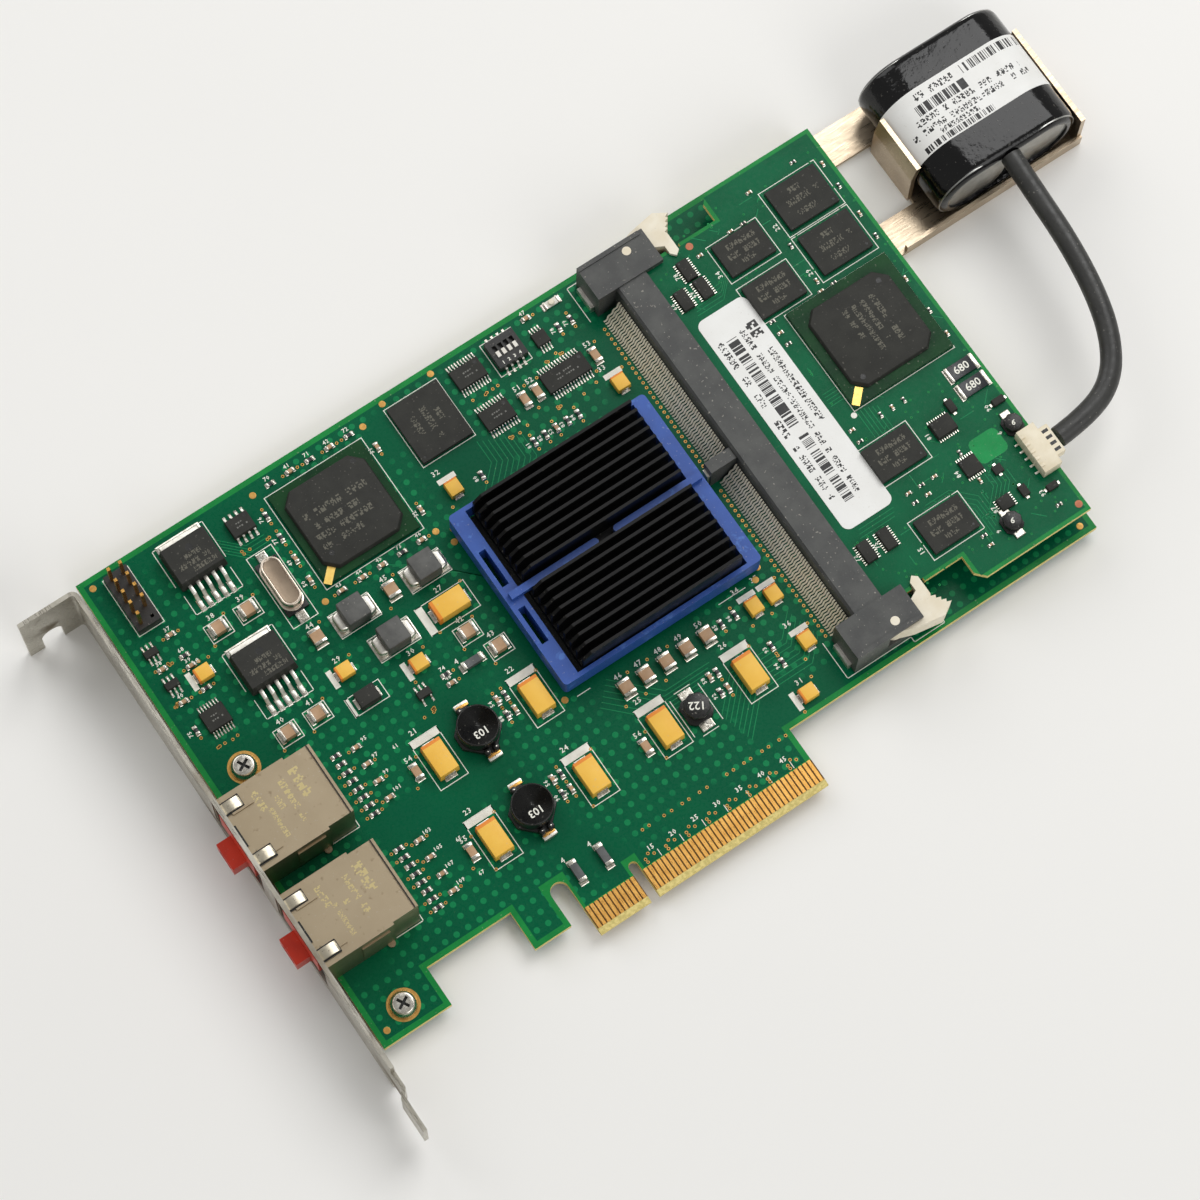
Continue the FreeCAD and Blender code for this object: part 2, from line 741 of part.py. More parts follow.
def heatsink_frame():
    """Clip frame: slotted side strip, two sprung arms on the heatsink, catches under the package."""
    low = "(frame_y - frame_deep / 2)"
    high = "(frame_y + frame_deep / 2)"
    inner_left = "(%s + frame_left_strip)" % FRAME_LEFT
    inner_right = "(%s - frame_right_strip)" % FRAME_RIGHT
    slot_left = "%s + 0.95" % FRAME_LEFT
    slot_right = "%s + 2.45" % FRAME_LEFT
    loops = [
        rectangle(FRAME_LEFT, low, FRAME_RIGHT, high),
        rectangle(inner_left, low + " + frame_rail", inner_right, high + " - frame_rail"),
        rectangle(slot_left, "frame_y + 2.6", slot_right, "frame_y + 10.8"),
        rectangle(slot_left, "frame_y - 10.8", slot_right, "frame_y - 2.6"),
    ]
    frame = pad("XY", "frame_low", "frame_top - frame_low", loops)
    corners = [(x, y) for x in (FRAME_LEFT, FRAME_RIGHT) for y in (low, high)]
    rounded(frame, "0.9", corners)
    arm_low = "frame_y - arm_wide / 2"
    arm_high = "frame_y + arm_wide / 2"
    left_tip = "%s - arm_gap / 2 - arm_wide / 2" % SINK_X
    right_tip = "%s + arm_gap / 2 + arm_wide / 2" % SINK_X
    arms = [
        [(FRAME_LEFT + " + 0.95", arm_low), (left_tip, arm_low), (left_tip, arm_high, "left"),
         (FRAME_LEFT + " + 0.95", arm_high)],
        [(FRAME_RIGHT + " - 0.6", arm_high), (right_tip, arm_high), (right_tip, arm_low, "left"),
         (FRAME_RIGHT + " - 0.6", arm_low)],
    ]
    pad("XY", "frame_top", "arm_high", arms, frame)
    feet = [("circle", tip, "frame_y", "arm_wide / 2") for tip in (left_tip, right_tip)]
    pad("XY", "lid_top + sink_base", "frame_top - lid_top - sink_base", feet, frame)
    package_left = "(%s - package_wide / 2)" % SINK_X
    package_right = "(%s + package_wide / 2)" % SINK_X
    legs = []
    hooks = []
    for start in ("frame_y - 8", "frame_y + 4"):
        end = start + " + 4"
        legs.append(rectangle(inner_left + " - 0.9", start, package_left + " - 0.1", end))
        legs.append(rectangle(package_right + " + 0.1", start, inner_right + " + 0.9", end))
        hooks.append(rectangle(package_left + " - 0.1", start, package_left + " + 0.9", end))
        hooks.append(rectangle(package_right + " - 0.9", start, package_right + " + 0.1", end))
    pad("XY", "0.1", "frame_low - 0.1", legs, frame)
    pad("XY", "0.1", "package_low - 0.15", hooks, frame)
    return frame


# Larger chips --------------------------------------------------------------------------------


def network_chip():
    """Ball-grid network chip with a moulded cap whose corners are cut off."""
    x = "-7"
    y = "95.05"
    chip = pad("XY", "0", "0.45", [square(x, y, "(network_wide / 2 - 0.9)")])
    pad("XY", "0.45", "0.55", [square(x, y, "network_wide / 2")], chip)
    pad("XY", "1", "network_top - 1", [cut_square(x, y, "network_cap", "2.3")], chip)
    return chip


def flash_chip():
    """The flash chip: ball field and body."""
    chip = pad("XY", "0", "0.35", [rectangle("11.7", "95.4", "21.5", "106.8")])
    pad("XY", "0.35", "1.05", [rectangle("10.9", "94.6", "22.3", "107.6")], chip)
    return chip


# Leaded chips: centre, body across and up, top of the body, leads above and below, lead pitch.
LEADED_CHIPS = (
    (-24.7, 103.8, 4.9, 3.9, 1.6, 4, 4, 1.27),
    (-52.3, 91.9, 2.9, 1.6, 1.2, 3, 3, 0.95),
    (-52.3, 84.5, 2.9, 1.6, 1.2, 3, 3, 0.95),
    (-14.0, 56.7, 2.9, 1.6, 1.2, 3, 2, 0.95),
    (-48.9, 74.55, 5.0, 4.4, 1.1, 7, 7, 0.65),
    (28.15, 105.25, 6.5, 4.4, 1.1, 10, 10, 0.65),
    (28.15, 95.2, 6.5, 4.4, 1.1, 10, 10, 0.65),
    (43.8, 95.0, 9.7, 4.4, 1.1, 14, 14, 0.65),
    (43.8, 103.6, 3.0, 3.0, 1.0, 4, 4, 0.65),
)
DIP_X = 36.75
DIP_Y = 105.1
DIP_STEP = 1.27


def small_chips():
    """Bodies of the leaded chips."""
    bodies = []
    for x, y, wide, deep, top, _, _, _ in LEADED_CHIPS:
        low = (x - wide / 2, y - deep / 2, 0.1)
        high = (x + wide / 2, y + deep / 2, top)
        bodies.append(block(low, high))
    return group(bodies)


def gull_lead(wide, reach, height):
    """A lead that leaves a body's side and slopes down to its foot, tip towards +Y."""
    side = [(0, height - 0.1), (reach * 0.5, 0), (reach, 0), (0, height + 0.1)]
    return pad("YZ", -wide / 2, wide, [[(str(y), str(z)) for y, z in side]])


def chip_leads():
    """Leads of every leaded chip and of the switch, in rows above and below each body."""
    units = {}
    places = {}
    rows = []
    for x, y, _, deep, top, above, below, pitch in LEADED_CHIPS:
        rows.append((x, y + deep / 2, above, pitch, top, 0))
        rows.append((x, y - deep / 2, below, pitch, top, 180))
    rows.append((DIP_X, DIP_Y + 3.0, 4, DIP_STEP, 2.0, 0))
    rows.append((DIP_X, DIP_Y - 3.0, 4, DIP_STEP, 2.0, 180))
    for x, y, count, pitch, top, turn in rows:
        units.setdefault((pitch, top), gull_lead(pitch * 0.36, 1.0, top / 2))
        for place in range(count):
            spread = (place - (count - 1) / 2) * pitch * (2 if count == 2 else 1)
            places.setdefault((pitch, top), []).append((x + spread, y, 0, turn))
    parts = [copies(unit, places[key]) for key, unit in units.items()]
    return group(parts)


# Power parts ---------------------------------------------------------------------------------

REGULATORS = ((-35.9, 108.4), (-35.9, 83.8))


def regulator_bodies():
    """Moulded bodies of the two tab regulators."""
    solids = []
    for x, tab_end in REGULATORS:
        body = pad("YZ", x - 5.1, 10.2, [[
            (str(tab_end - 9.9), "0.1"),
            (str(tab_end - 1.4), "0.1"),
            (str(tab_end - 1.4), "1.35"),
            (str(tab_end - 1.8), "4.4"),
            (str(tab_end - 9.4), "4.4"),
            (str(tab_end - 9.9), "2.4"),
        ]])
        slot = block((x - 4.2, tab_end - 3.2, 0), (x + 4.2, tab_end, 1.4))
        solids.append(less(body, [slot]))
    return group(solids)


def regulator_leads():
    """The regulators' tabs and their five leads each."""
    lead = gull_lead(0.8, 4.4, 2.4)
    places = []
    tabs = []
    for x, tab_end in REGULATORS:
        tabs.append(block((x - 4.2, tab_end - 3.2, 0), (x + 4.2, tab_end, 1.35)))
        for place in range(5):
            places.append((x + (place - 2) * 1.7, tab_end - 9.9, 0, 180))
    return group(tabs + [copies(lead, places)])


def crystal():
    """Oscillator can with round ends on a flat carrier."""
    x = -24.7
    low = 85.9
    high = 92.7
    can = pad("XY", "0.6", "3.4", [[
        (str(x - 2.2), str(low)),
        (str(x + 2.2), str(low), "left"),
        (str(x + 2.2), str(high)),
        (str(x - 2.2), str(high), "left"),
    ]])
    base = block((x - 2.4, low - 3.6, 0), (x + 2.4, high + 3.6, 0.6))
    return joined([can, base])


def square_inductors():
    """Moulded inductors with a curved contact down each side."""
    unit = pad("XY", "0", "5", [cut_square("0", "0", "5", "0.3")])
    contact = [("2.5", "0"), ("4.2", "0"), ("4.2", "0.3"), ("3.1", "1.0"), ("2.9", "3.6"), ("2.5", "3.8")]
    pad("XZ", "-1.4", "2.8", [contact], unit)
    other = [("-" + x if x != "0" else x, z) for x, z in contact]
    pad("XZ", "-1.4", "2.8", [other], unit)
    return copies(unit, ((-16.4, 76.9, 0, 0), (-0.5, 76.9, 0, 0), (-12.8, 68.8, 0, 0)))


def power_inductors():
    """Round ferrite drums on a long base that narrows to a contact at each end."""
    base = pad("XY", "0", "1.5", [[
        ("-4.45", "-1.5"), ("-1.5", "-6.05"), ("1.5", "-6.05"), ("4.45", "-1.5"),
        ("4.45", "1.5"), ("1.5", "6.05"), ("-1.5", "6.05"), ("-4.45", "1.5"),
    ]])
    pad("XY", "1.5", "3.7", [("circle", "0", "0", "4.1")], base)
    return copies(base, ((-9.65, 44.9, 0, 0), (-9.65, 26.65, 0, 0)))


def drum_inductor():
    """Wire-wound drum core on a small square carrier."""
    core = pad("XY", "0", "0.9", [cut_square("26.7", "25.6", "5.6", "1.4")])
    pad("XY", "0.9", "1.8", [("circle", "26.7", "25.6", "1.9")], core)
    pad("XY", "2.7", "0.8", [("circle", "26.7", "25.6", "2.5")], core)
    return core


def chip_part(long, wide, top):
    """A fired chip part along X."""
    return block((-long / 2, -wide / 2, 0), (long / 2, wide / 2, top))


def moulded(long, wide, top):
    """A moulded capacitor along X whose ends lean in above its parting line."""
    half = long / 2
    lean = half - 0.2
    side = ((-lean, 0), (lean, 0), (half, top / 2), (lean, top), (-lean, top), (-half, top / 2))
    return pad("XZ", -wide / 2, wide, [[(str(x), str(z)) for x, z in side]])


def tantalum_capacitors_large():
    """Seven moulded capacitors of 7.3 by 4.3 mm."""
    upright = ((-18.6, 44.3), (3.1, 44.3), (-18.6, 25.85), (3.1, 25.8), (19.7, 25.85), (39.1, 25.8))
    places = [(x, y, 0, -90) for x, y in upright]
    places.append((-0.5, 68.4, 0, 0))
    return copies(moulded(7.3, 4.3, 2.9), places)


def tantalum_capacitors_small():
    """Nine moulded capacitors of 3.5 by 2.9 mm."""
    across = ((-46.2, 83.0), (-24.0, 68.6), (-11.6, 62.1), (45.9, 16.5))
    upright = ((13.05, 87.4), (51.4, 87.4), (47.1, 36.1), (51.5, 36.1), (51.6, 25.2))
    places = [(x, y, 0, 0) for x, y in across] + [(x, y, 0, -90) for x, y in upright]
    return copies(moulded(3.5, 2.9, 1.9), places)


def diode():
    """The moulded diode."""
    return put(moulded(4.6, 3.4, 2.3), -23.2, 62.0, 0)


def ceramic_capacitors_large():
    """Ceramic capacitors of 3.3 by 2.5 mm and of 3.2 by 1.6 mm."""
    across = ((-39.15, 88.85), (-32.55, 88.85), (-39.3, 64.4), (-32.7, 64.4), (-0.5, 62.15),
              (2.85, 56.55))
    upright = ((-24.65, 76.95), (-8.0, 77.0), (18.1, 36.3), (22.6, 36.3), (27.2, 36.3),
               (31.8, 36.3), (36.4, 36.3))
    narrow = ((34.3, 94.85), (37.2, 94.85), (50.6, 94.85), (-23.5, 44.8), (-23.4, 26.3), (14.8, 24.9))
    wide_places = [(x, y, 0, 0) for x, y in across] + [(x, y, 0, 90) for x, y in upright]
    wide_parts = copies(chip_part(3.3, 2.5, 2.0), wide_places)
    narrow_parts = copies(chip_part(3.2, 1.6, 1.2), [(x, y, 0, 90) for x, y in narrow])
    return group([wide_parts, narrow_parts])


def ferrites():
    """Three long ferrite beads."""
    beads = ((-9.3, 12.2, 90), (-3.5, 12.05, 90), (-3.05, 56.7, 0))
    return copies(chip_part(4.5, 1.6, 1.6), [(x, y, 0, turn) for x, y, turn in beads])


# Chip parts of 1.6 by 0.8 mm, the ones along X and the ones along Y.
CAPACITORS_ACROSS = ((-47.3, 93.0), (-52.2, 88.1), (-47.3, 85.7), (-52.2, 80.5), (-11.0, 107.8),
                     (-2.1, 107.7), (-15.7, 82.3), (-11.1, 82.3), (-6.6, 82.3), (2.3, 82.3),
                     (43.7, 108.65), (-8.5, 55.55))
CAPACITORS_UPRIGHT = ((-19.6, 92.5), (-19.6, 87.45), (5.5, 102.7), (5.5, 87.4), (36.2, 86.8),
                      (-3.3, 48.0), (-1.45, 44.6), (-3.2, 29.5), (-1.3, 26.1), (32.4, 29.5),
                      (34.1, 25.85))
RESISTORS_ACROSS = ((-47.3, 88.1), (-47.3, 80.5), (-15.5, 107.8), (-6.6, 107.7), (2.3, 107.7),
                    (-2.1, 82.3), (-8.5, 57.6))
RESISTORS_UPRIGHT = ((-53.3, 74.5), (-19.6, 102.7), (-19.6, 97.6), (48.0, 103.7), (50.9, 103.7),
                     (19.0, 86.8), (31.1, 86.8), (33.7, 86.8), (38.8, 86.8), (41.3, 86.8),
                     (40.1, 36.9), (43.3, 36.9), (-1.45, 48.0), (-3.3, 44.6), (-1.3, 29.5),
                     (-3.2, 26.1), (34.1, 29.5), (32.4, 25.85), (45.5, 28.0), (45.5, 24.2))
JACK_SIDE_RESISTOR_Y = (55.8, 53.9, 52.0, 50.1, 48.2, 46.3, 44.4, 42.5)
JACK_SIDE_CAPACITOR_Y = (55.1, 51.25, 47.4, 43.55)


def small_capacitors():
    """Ceramic chip capacitors."""
    places = [(x, y, 0, 0) for x, y in CAPACITORS_ACROSS]
    places += [(x, y, 0, 90) for x, y in CAPACITORS_UPRIGHT]
    for jack in (0, 1):
        places += [(-30.25, "%s - %d * jack_pitch" % (y, jack), 0, 0) for y in JACK_SIDE_CAPACITOR_Y]
    return copies(chip_part(1.6, 0.8, 0.8), places)


def small_resistors():
    """Chip resistors."""
    places = [(x, y, 0, 0) for x, y in RESISTORS_ACROSS]
    places += [(x, y, 0, 90) for x, y in RESISTORS_UPRIGHT]
    for jack in (0, 1):
        places += [(-34.35, "%s - %d * jack_pitch" % (y, jack), 0, 0) for y in JACK_SIDE_RESISTOR_Y]
    return copies(chip_part(1.6, 0.8, 0.5), places)


def status_led():
    """The status light at the card's top edge."""
    return block((48.0, 107.8, 0), (51.2, 109.4, 1.1))


# Pin header and switch -----------------------------------------------------------------------


def pin_header_body():
    """Two rows of five places; every place is bored for its pin."""
    low = (HEADER_X - HEADER_STEP / 2, HEADER_Y - HEADER_STEP / 2)
    high = (HEADER_X + HEADER_STEP * 1.5, HEADER_Y + HEADER_STEP * 4.5)
    body = pad("XY", "0", "2.5", [rectangle(*[str(value) for value in low + high])])
    bores = [square(str(x), str(y), "0.33") for x, y in header_spots()]
    return pocket(body, "XY", "-1", "5", bores)


def pin_header_pins():
    """Nine pins; the lowest place of the right-hand row is left empty as a key."""
    pins = []
    for x, y in header_spots():
        if (x, y) != (HEADER_X + HEADER_STEP, HEADER_Y):
            pins.append(block((x - 0.32, y - 0.32, "-board_thick - 1.3"), (x + 0.32, y + 0.32, 9.2)))
    return group(pins)


def dip_switch_body():
    """Switch block with one slot in its top for each of its four sliders."""
    body = pad("XY", "0.2", "2.2", [rectangle(str(DIP_X - 3.2), str(DIP_Y - 3), str(DIP_X + 3.2),
                                             str(DIP_Y + 3))])
    slots = []
    for place in range(4):
        x = DIP_X + (place - 1.5) * DIP_STEP
        slots.append(rectangle(str(x - 0.42), str(DIP_Y - 1.0), str(x + 0.42), str(DIP_Y + 1.6)))
    return pocket(body, "XY", "1.5", "2", slots)


def switch_slider(place):
    """One slider, in its lower position."""
    x = DIP_X + (place - 1.5) * DIP_STEP
    return block((x - 0.37, DIP_Y - 0.95, 1.52), (x + 0.37, DIP_Y + 0.25, 2.75))


# Memory socket -------------------------------------------------------------------------------


def memory_socket():
    """Angled module socket: slotted bar, key block behind it, and two end blocks for latches."""
    bar = pad("XZ", SOCKET_LOW, "socket_bar_long", [[
        (SOCKET_X, "0.3"),
        (SOCKET_LIP, "0.3"),
        (SOCKET_LIP, "module_low - module_clear"),
        (SOCKET_LIP + " - module_slot_deep", "module_low - module_clear"),
        (SOCKET_LIP + " - module_slot_deep", MODULE_TOP + " + module_clear"),
        (SOCKET_LIP, MODULE_TOP + " + module_clear"),
        (SOCKET_LIP, "socket_bar_top"),
        (SOCKET_X + " + 0.5", "socket_bar_top"),
        (SOCKET_X, "socket_bar_top - 0.5"),
    ]])
    key = block((SOCKET_X + " - 5.8", SOCKET_Y + " - 1.25", "0"), (SOCKET_X, SOCKET_Y + " + 1.25", "7.6"))
    end_x = "(%s - 4.15)" % SOCKET_X
    end_low = "(%s - socket_end_wide)" % SOCKET_LOW
    shell = block((end_x, end_low, "0"), (end_x + " + socket_end_long", SOCKET_LOW, "socket_end_top"))
    strip = block((end_x, end_low, "socket_end_top"),
                  (end_x + " + socket_end_long - 1", end_low + " + 0.9", "socket_end_top + 0.25"))
    past_end = end_x + " + socket_end_long + 1"
    bay_top = "latch_low + latch_thick + latch_clear"
    bay = block((PIVOT_X + " - 2.6", end_low + " - 1", "latch_low - latch_clear"),
                (past_end, SOCKET_LOW + " - 2.6", bay_top))
    neck = block((SOCKET_LIP + " - 0.2", SOCKET_LOW + " - 1.7", "module_low - 0.3"),
                 (past_end, SOCKET_LOW + " + 1", MODULE_TOP + " + 0.3"))
    bore = rod(PIVOT_X, PIVOT_Y, "1", "pivot_radius + 0.02", "socket_end_top")
    end = less(joined([shell, strip]), [bay, neck, bore])
    return joined([bar, key, end, mirrored(end)])


def latch_pins():
    """The two pins that the latches turn on."""
    pin = rod(PIVOT_X, PIVOT_Y, "1", "pivot_radius", "socket_end_top - 0.95")
    return group([pin, mirrored(pin)])


def socket_contacts():
    """Sprung tails from the back of the bar down to the board, one solid for each pair of a
    longer and a shorter tail, parted by the key block."""
    tail = pad("XZ", "-contact_wide / 2", "contact_wide + contact_pitch", [[
        ("-contact_reach", "0"), ("0.45 - contact_reach", "0"), ("0", "4.6"), ("0", "5.4"),
    ]])
    first = number(SOCKET_LOW + " + 0.9")
    step = number("2 * contact_pitch")
    last = first + number("socket_bar_long - 1.8 - contact_pitch")
    key_half = 1.6
    places = []
    y = first
    while y < last + 0.01:
        if abs(y + step / 4 - number(SOCKET_Y)) > key_half + step / 4:
            places.append((SOCKET_X, y, 0, 0))
        y += step
    return copies(tail, places)


def socket_hold_downs():
    """Flat metal clips that solder the socket's ends and its key block to the board."""
    x = "(%s - 4.15)" % SOCKET_X
    end_low = "(%s - socket_end_wide)" % SOCKET_LOW
    clip = block((x + " - 0.75", end_low + " + 1.3", "0"), (x, end_low + " + 6.2", "2.2"))
    middle = block((SOCKET_X + " - 6.3", SOCKET_Y + " - 0.9", "0"),
                   (SOCKET_X + " - 5.8", SOCKET_Y + " + 0.9", "5"))
    return group([clip, mirrored(clip), middle])


def latch_lower():
    """Swinging latch: round heel on its pivot, thumb piece with grips, hook in the module's notch."""
    heel = "(pivot_radius + 1.2)"
    block_end = "(%s + socket_end_long - 4.15)" % SOCKET_X
    hook_y = "(%s - module_neck / 2)" % SOCKET_Y
    hook_x = "(%s + notch_from_socket)" % SOCKET_X
    corners = [
        ("%s + 2.8" % PIVOT_X, "%s - 3.1" % PIVOT_Y),
        ("%s + 8.7" % PIVOT_X, "%s - 4.1" % PIVOT_Y),
    ]
    teeth = 4
    for place in range(teeth):
        share = place / teeth
        corners.append(("%s + %.3f" % (PIVOT_X, 11.35 - 2.45 * share),
                        "%s + %.3f" % (PIVOT_Y, -2.45 + 3.45 * share)))
        share = (place + 0.5) / teeth
        corners.append(("%s + %.3f" % (PIVOT_X, 10.75 - 2.45 * share),
                        "%s + %.3f" % (PIVOT_Y, -2.55 + 3.45 * share)))
    corners += [
        ("%s + 2.05" % hook_x, "%s - 2.7" % hook_y),
        ("%s + 2.05" % hook_x, "%s + 1.3" % hook_y),
        ("%s + 1.05" % hook_x, "%s + 2.1" % hook_y),
        ("%s + 0.1" % hook_x, "%s + 1.1" % hook_y),
        ("%s + 0.1" % hook_x, "%s - 0.75" % hook_y),
        ("%s + 0.35" % block_end, "%s + %s" % (PIVOT_Y, heel)),
        (PIVOT_X, "%s + %s" % (PIVOT_Y, heel)),
        (PIVOT_X, "%s - %s" % (PIVOT_Y, heel), "left"),
    ]
    latch = pad("XY", "latch_low", "latch_thick", [corners])
    bore = [("circle", PIVOT_X, PIVOT_Y, "pivot_radius + pivot_clear")]
    return pocket(latch, "XY", "latch_low - 1", "latch_thick + 2", bore)


# Cache module --------------------------------------------------------------------------------


def module_board():
    """Module laminate: narrow neck in the socket, wider wings past it, latch notches, two holes."""
    start = "(%s - module_slot_deep + module_clear)" % SOCKET_LIP
    wing = "(%s - module_wing)" % MODULE_END
    notch = "(%s + notch_from_socket - 0.15)" % SOCKET_X
    low = "(%s - module_neck / 2)" % SOCKET_Y
    wing_low = "(%s - module_wide / 2)" % SOCKET_Y
    high = "(%s + module_neck / 2)" % SOCKET_Y
    wing_high = "(%s + module_wide / 2)" % SOCKET_Y
    outline = [
        (start, high + " - 2.3"),
        (start, low + " + 2.3"),
        (SOCKET_LIP, low + " + 2.3"),
        (SOCKET_LIP, low),
        (notch, low),
        (notch, low + " + notch_deep"),
        (notch + " + notch_long", low + " + notch_deep"),
        (notch + " + notch_long", low),
        (wing, low),
        (wing, wing_low + " + 1.9"),
        (wing + " + 1.8", wing_low),
        (MODULE_END, wing_low),
        (MODULE_END, wing_high),
        (wing + " + 1.8", wing_high),
        (wing, wing_high + " - 1.9"),
        (wing, high),
        (notch + " + notch_long", high),
        (notch + " + notch_long", high + " - notch_deep"),
        (notch, high + " - notch_deep"),
        (notch, high),
        (SOCKET_LIP, high),
        (SOCKET_LIP, high + " - 2.3"),
    ]
    board = pad("XY", "module_low", "module_thick", [outline])
    hole_x = "(%s + 2.4)" % SOCKET_LIP
    holes = [("circle", hole_x, low + " + 2.15", "0.8"), ("circle", hole_x, high + " - 2.15", "0.8")]
    return pocket(board, "XY", "module_low - 1", "module_thick + 2", holes)


def on_module(x, y):
    """A place on the module, given by its distance from the module's outer end and middle line."""
    return "(%s - %s)" % (MODULE_END, x), "(%s + %s)" % (SOCKET_Y, y)


def module_block(x, y, wide, deep, low, top):
    """A block on the module: its centre, its size, and its height above the module."""
    across, up = on_module(x, y)
    return block(("%s - %s" % (across, wide / 2), "%s - %s" % (up, deep / 2), "%s + %s" % (MODULE_TOP, low)),
                 ("%s + %s" % (across, wide / 2), "%s + %s" % (up, deep / 2), "%s + %s" % (MODULE_TOP, top)))


def module_controller():
    """Ball-grid controller with a moulded cap."""
    x, y = on_module(14.3, 5.65)
    chip = pad("XY", MODULE_TOP, "0.45", [square(x, y, "(controller_wide / 2 - 0.9)")])
    pad("XY", MODULE_TOP + " + 0.45", "0.6", [square(x, y, "controller_wide / 2")], chip)
    pad("XY", MODULE_TOP + " + 1.05", "1.1", [cut_square(x, y, "controller_cap", "2.5")], chip)
    return chip


def module_memory_chips():
    """Four memory chips."""
    places = ((24.85, 32.75), (24.85, 22.45), (24.85, -17.35), (24.8, -34.35))
    return group([module_block(x, y, 10.3, 7.5, 0, 1.2) for x, y in places])


def module_flash_chips():
    """Two flash chips."""
    return group([module_block(9.35, y, 11.4, 9.2, 0, 1.1) for y in (35.35, 24.15)])


# Smaller module parts: centre from the end and the middle line, size, height.
MODULE_CHIPS = (
    (40.3, 30.55, 2.7, 4.7, 1.0), (35.8, 30.55, 2.7, 4.7, 1.0), (40.3, -30.35, 2.7, 4.7, 1.0),
    (35.7, -30.35, 2.7, 4.7, 1.0), (36.35, 35.35, 2.7, 4.7, 1.0), (13.95, -18.05, 4.9, 3.9, 1.5),
    (14.1, -27.35, 4.0, 4.0, 0.9), (12.9, -36.95, 3.0, 3.0, 0.9), (10.25, -30.75, 2.0, 2.0, 0.8),
    (10.35, -15.45, 1.6, 2.9, 1.1), (2.15, -19.65, 2.9, 1.6, 1.1), (8.65, -36.95, 1.6, 2.6, 1.0),
    (3.65, -39.25, 2.6, 1.6, 1.0),
)
MODULE_INDUCTORS = ((2.65, -25.05, 3.9, 3.9, 2.0), (14.25, -40.85, 4.0, 4.0, 2.0))
MODULE_RESISTORS = ((4.15, -10.35, 6.3, 3.2, 0.7), (4.25, -14.35, 6.3, 3.2, 0.7))
# Chip parts of 1.0 by 0.5 mm along the module's outer edge and beside its chips.
MODULE_BITS_UPRIGHT = ((1.85, 39.05), (1.85, 33.55), (1.85, 26.55), (1.85, 21.05), (2.25, 10.65),
                       (2.25, 2.75), (2.15, -2.95), (16.75, 28.45), (16.75, 19.75), (14.25, -24.05),
                       (14.25, -30.65), (16.9, -9.4), (19.6, -9.4), (22.3, -9.4))
MODULE_BITS_ACROSS = ((17.15, 42.05), (6.45, 42.55), (17.25, 17.55), (14.25, 17.55), (24.75, 37.35),
                      (21.75, 37.35), (32.45, 36.55), (28.6, 17.6), (28.6, 14.9), (28.6, 12.2),
                      (28.6, -8.9), (28.6, -11.6), (27.0, -25.2), (24.0, -25.2), (21.0, -25.2),
                      (27.0, -27.4), (24.0, -27.4), (20.0, -40.0), (20.0, -42.2), (4.6, -42.9))


def module_small_chips():
    """Small packages and two square inductors."""
    parts = MODULE_CHIPS + MODULE_INDUCTORS
    return group([module_block(x, y, wide, deep, 0, top) for x, y, wide, deep, top in parts])


def module_small_parts():
    """The module's two large resistors and its smallest chip parts."""
    parts = [module_block(x, y, wide, deep, 0, top) for x, y, wide, deep, top in MODULE_RESISTORS]
    parts += [module_block(x, y, 0.5, 1.0, 0, 0.45) for x, y in MODULE_BITS_UPRIGHT]
    parts += [module_block(x, y, 1.0, 0.5, 0, 0.45) for x, y in MODULE_BITS_ACROSS]
    return group(parts)


def module_label():
    """Paper label with round corners."""
    left, low = on_module(41.25, -24.95)
    right, high = on_module(30.0, 25.35)
    label = pad("XY", MODULE_TOP, "0.1", [rectangle(left, low, right, high)])
    return rounded(label, "1.7", [(left, low), (right, low), (right, high), (left, high)])


# Cable header, plug, cable, capacitor pack and cradle ----------------------------------------

HEADER_CENTRE = "(%s - 32.15)" % SOCKET_Y


def cable_header():
    """Side-entry header: a low tray open to the card's end, with a cheek on each side."""
    left = "(%s - 3.95)" % MODULE_END
    tray = pad("YZ", left, "4.0", [[
        (HEADER_CENTRE + " - 4.8", MODULE_TOP),
        (HEADER_CENTRE + " + 4.8", MODULE_TOP),
        (HEADER_CENTRE + " + 4.8", MODULE_TOP + " + 3.2"),
        (HEADER_CENTRE + " + 3.3", MODULE_TOP + " + 3.2"),
        (HEADER_CENTRE + " + 3.3", MODULE_TOP + " + 0.4"),
        (HEADER_CENTRE + " - 3.3", MODULE_TOP + " + 0.4"),
        (HEADER_CENTRE + " - 3.3", MODULE_TOP + " + 3.2"),
        (HEADER_CENTRE + " - 4.8", MODULE_TOP + " + 3.2"),
    ]])
    back = block((left, HEADER_CENTRE + " - 3.3", MODULE_TOP + " + 0.4"),
                 (left + " + 1", HEADER_CENTRE + " + 3.3", MODULE_TOP + " + 3.2"))
    return joined([tray, back])


def cable_plug():
    """Three-way plug in the header, ribbed on top."""
    left = "(%s - 2.85)" % MODULE_END
    plug = pad("XY", MODULE_TOP + " + 0.45", "2.5", [[
        (left, HEADER_CENTRE + " - 3.2"),
        (MODULE_END + " + 0.2", HEADER_CENTRE + " - 3.2"),
        (MODULE_END + " + 2.1", HEADER_CENTRE + " - 2.7"),
        (MODULE_END + " + 2.1", HEADER_CENTRE + " + 2.7"),
        (MODULE_END + " + 0.2", HEADER_CENTRE + " + 3.2"),
        (left, HEADER_CENTRE + " + 3.2"),
    ]])
    ribs = [rectangle(left + " + 1.2", "%s + %s" % (HEADER_CENTRE, y), MODULE_END + " + 2.3",
                      "%s + %s" % (HEADER_CENTRE, y + 0.5)) for y in (-1.95, -0.25, 1.45)]
    return pocket(plug, "XY", MODULE_TOP + " + 2.55", "1", ribs)


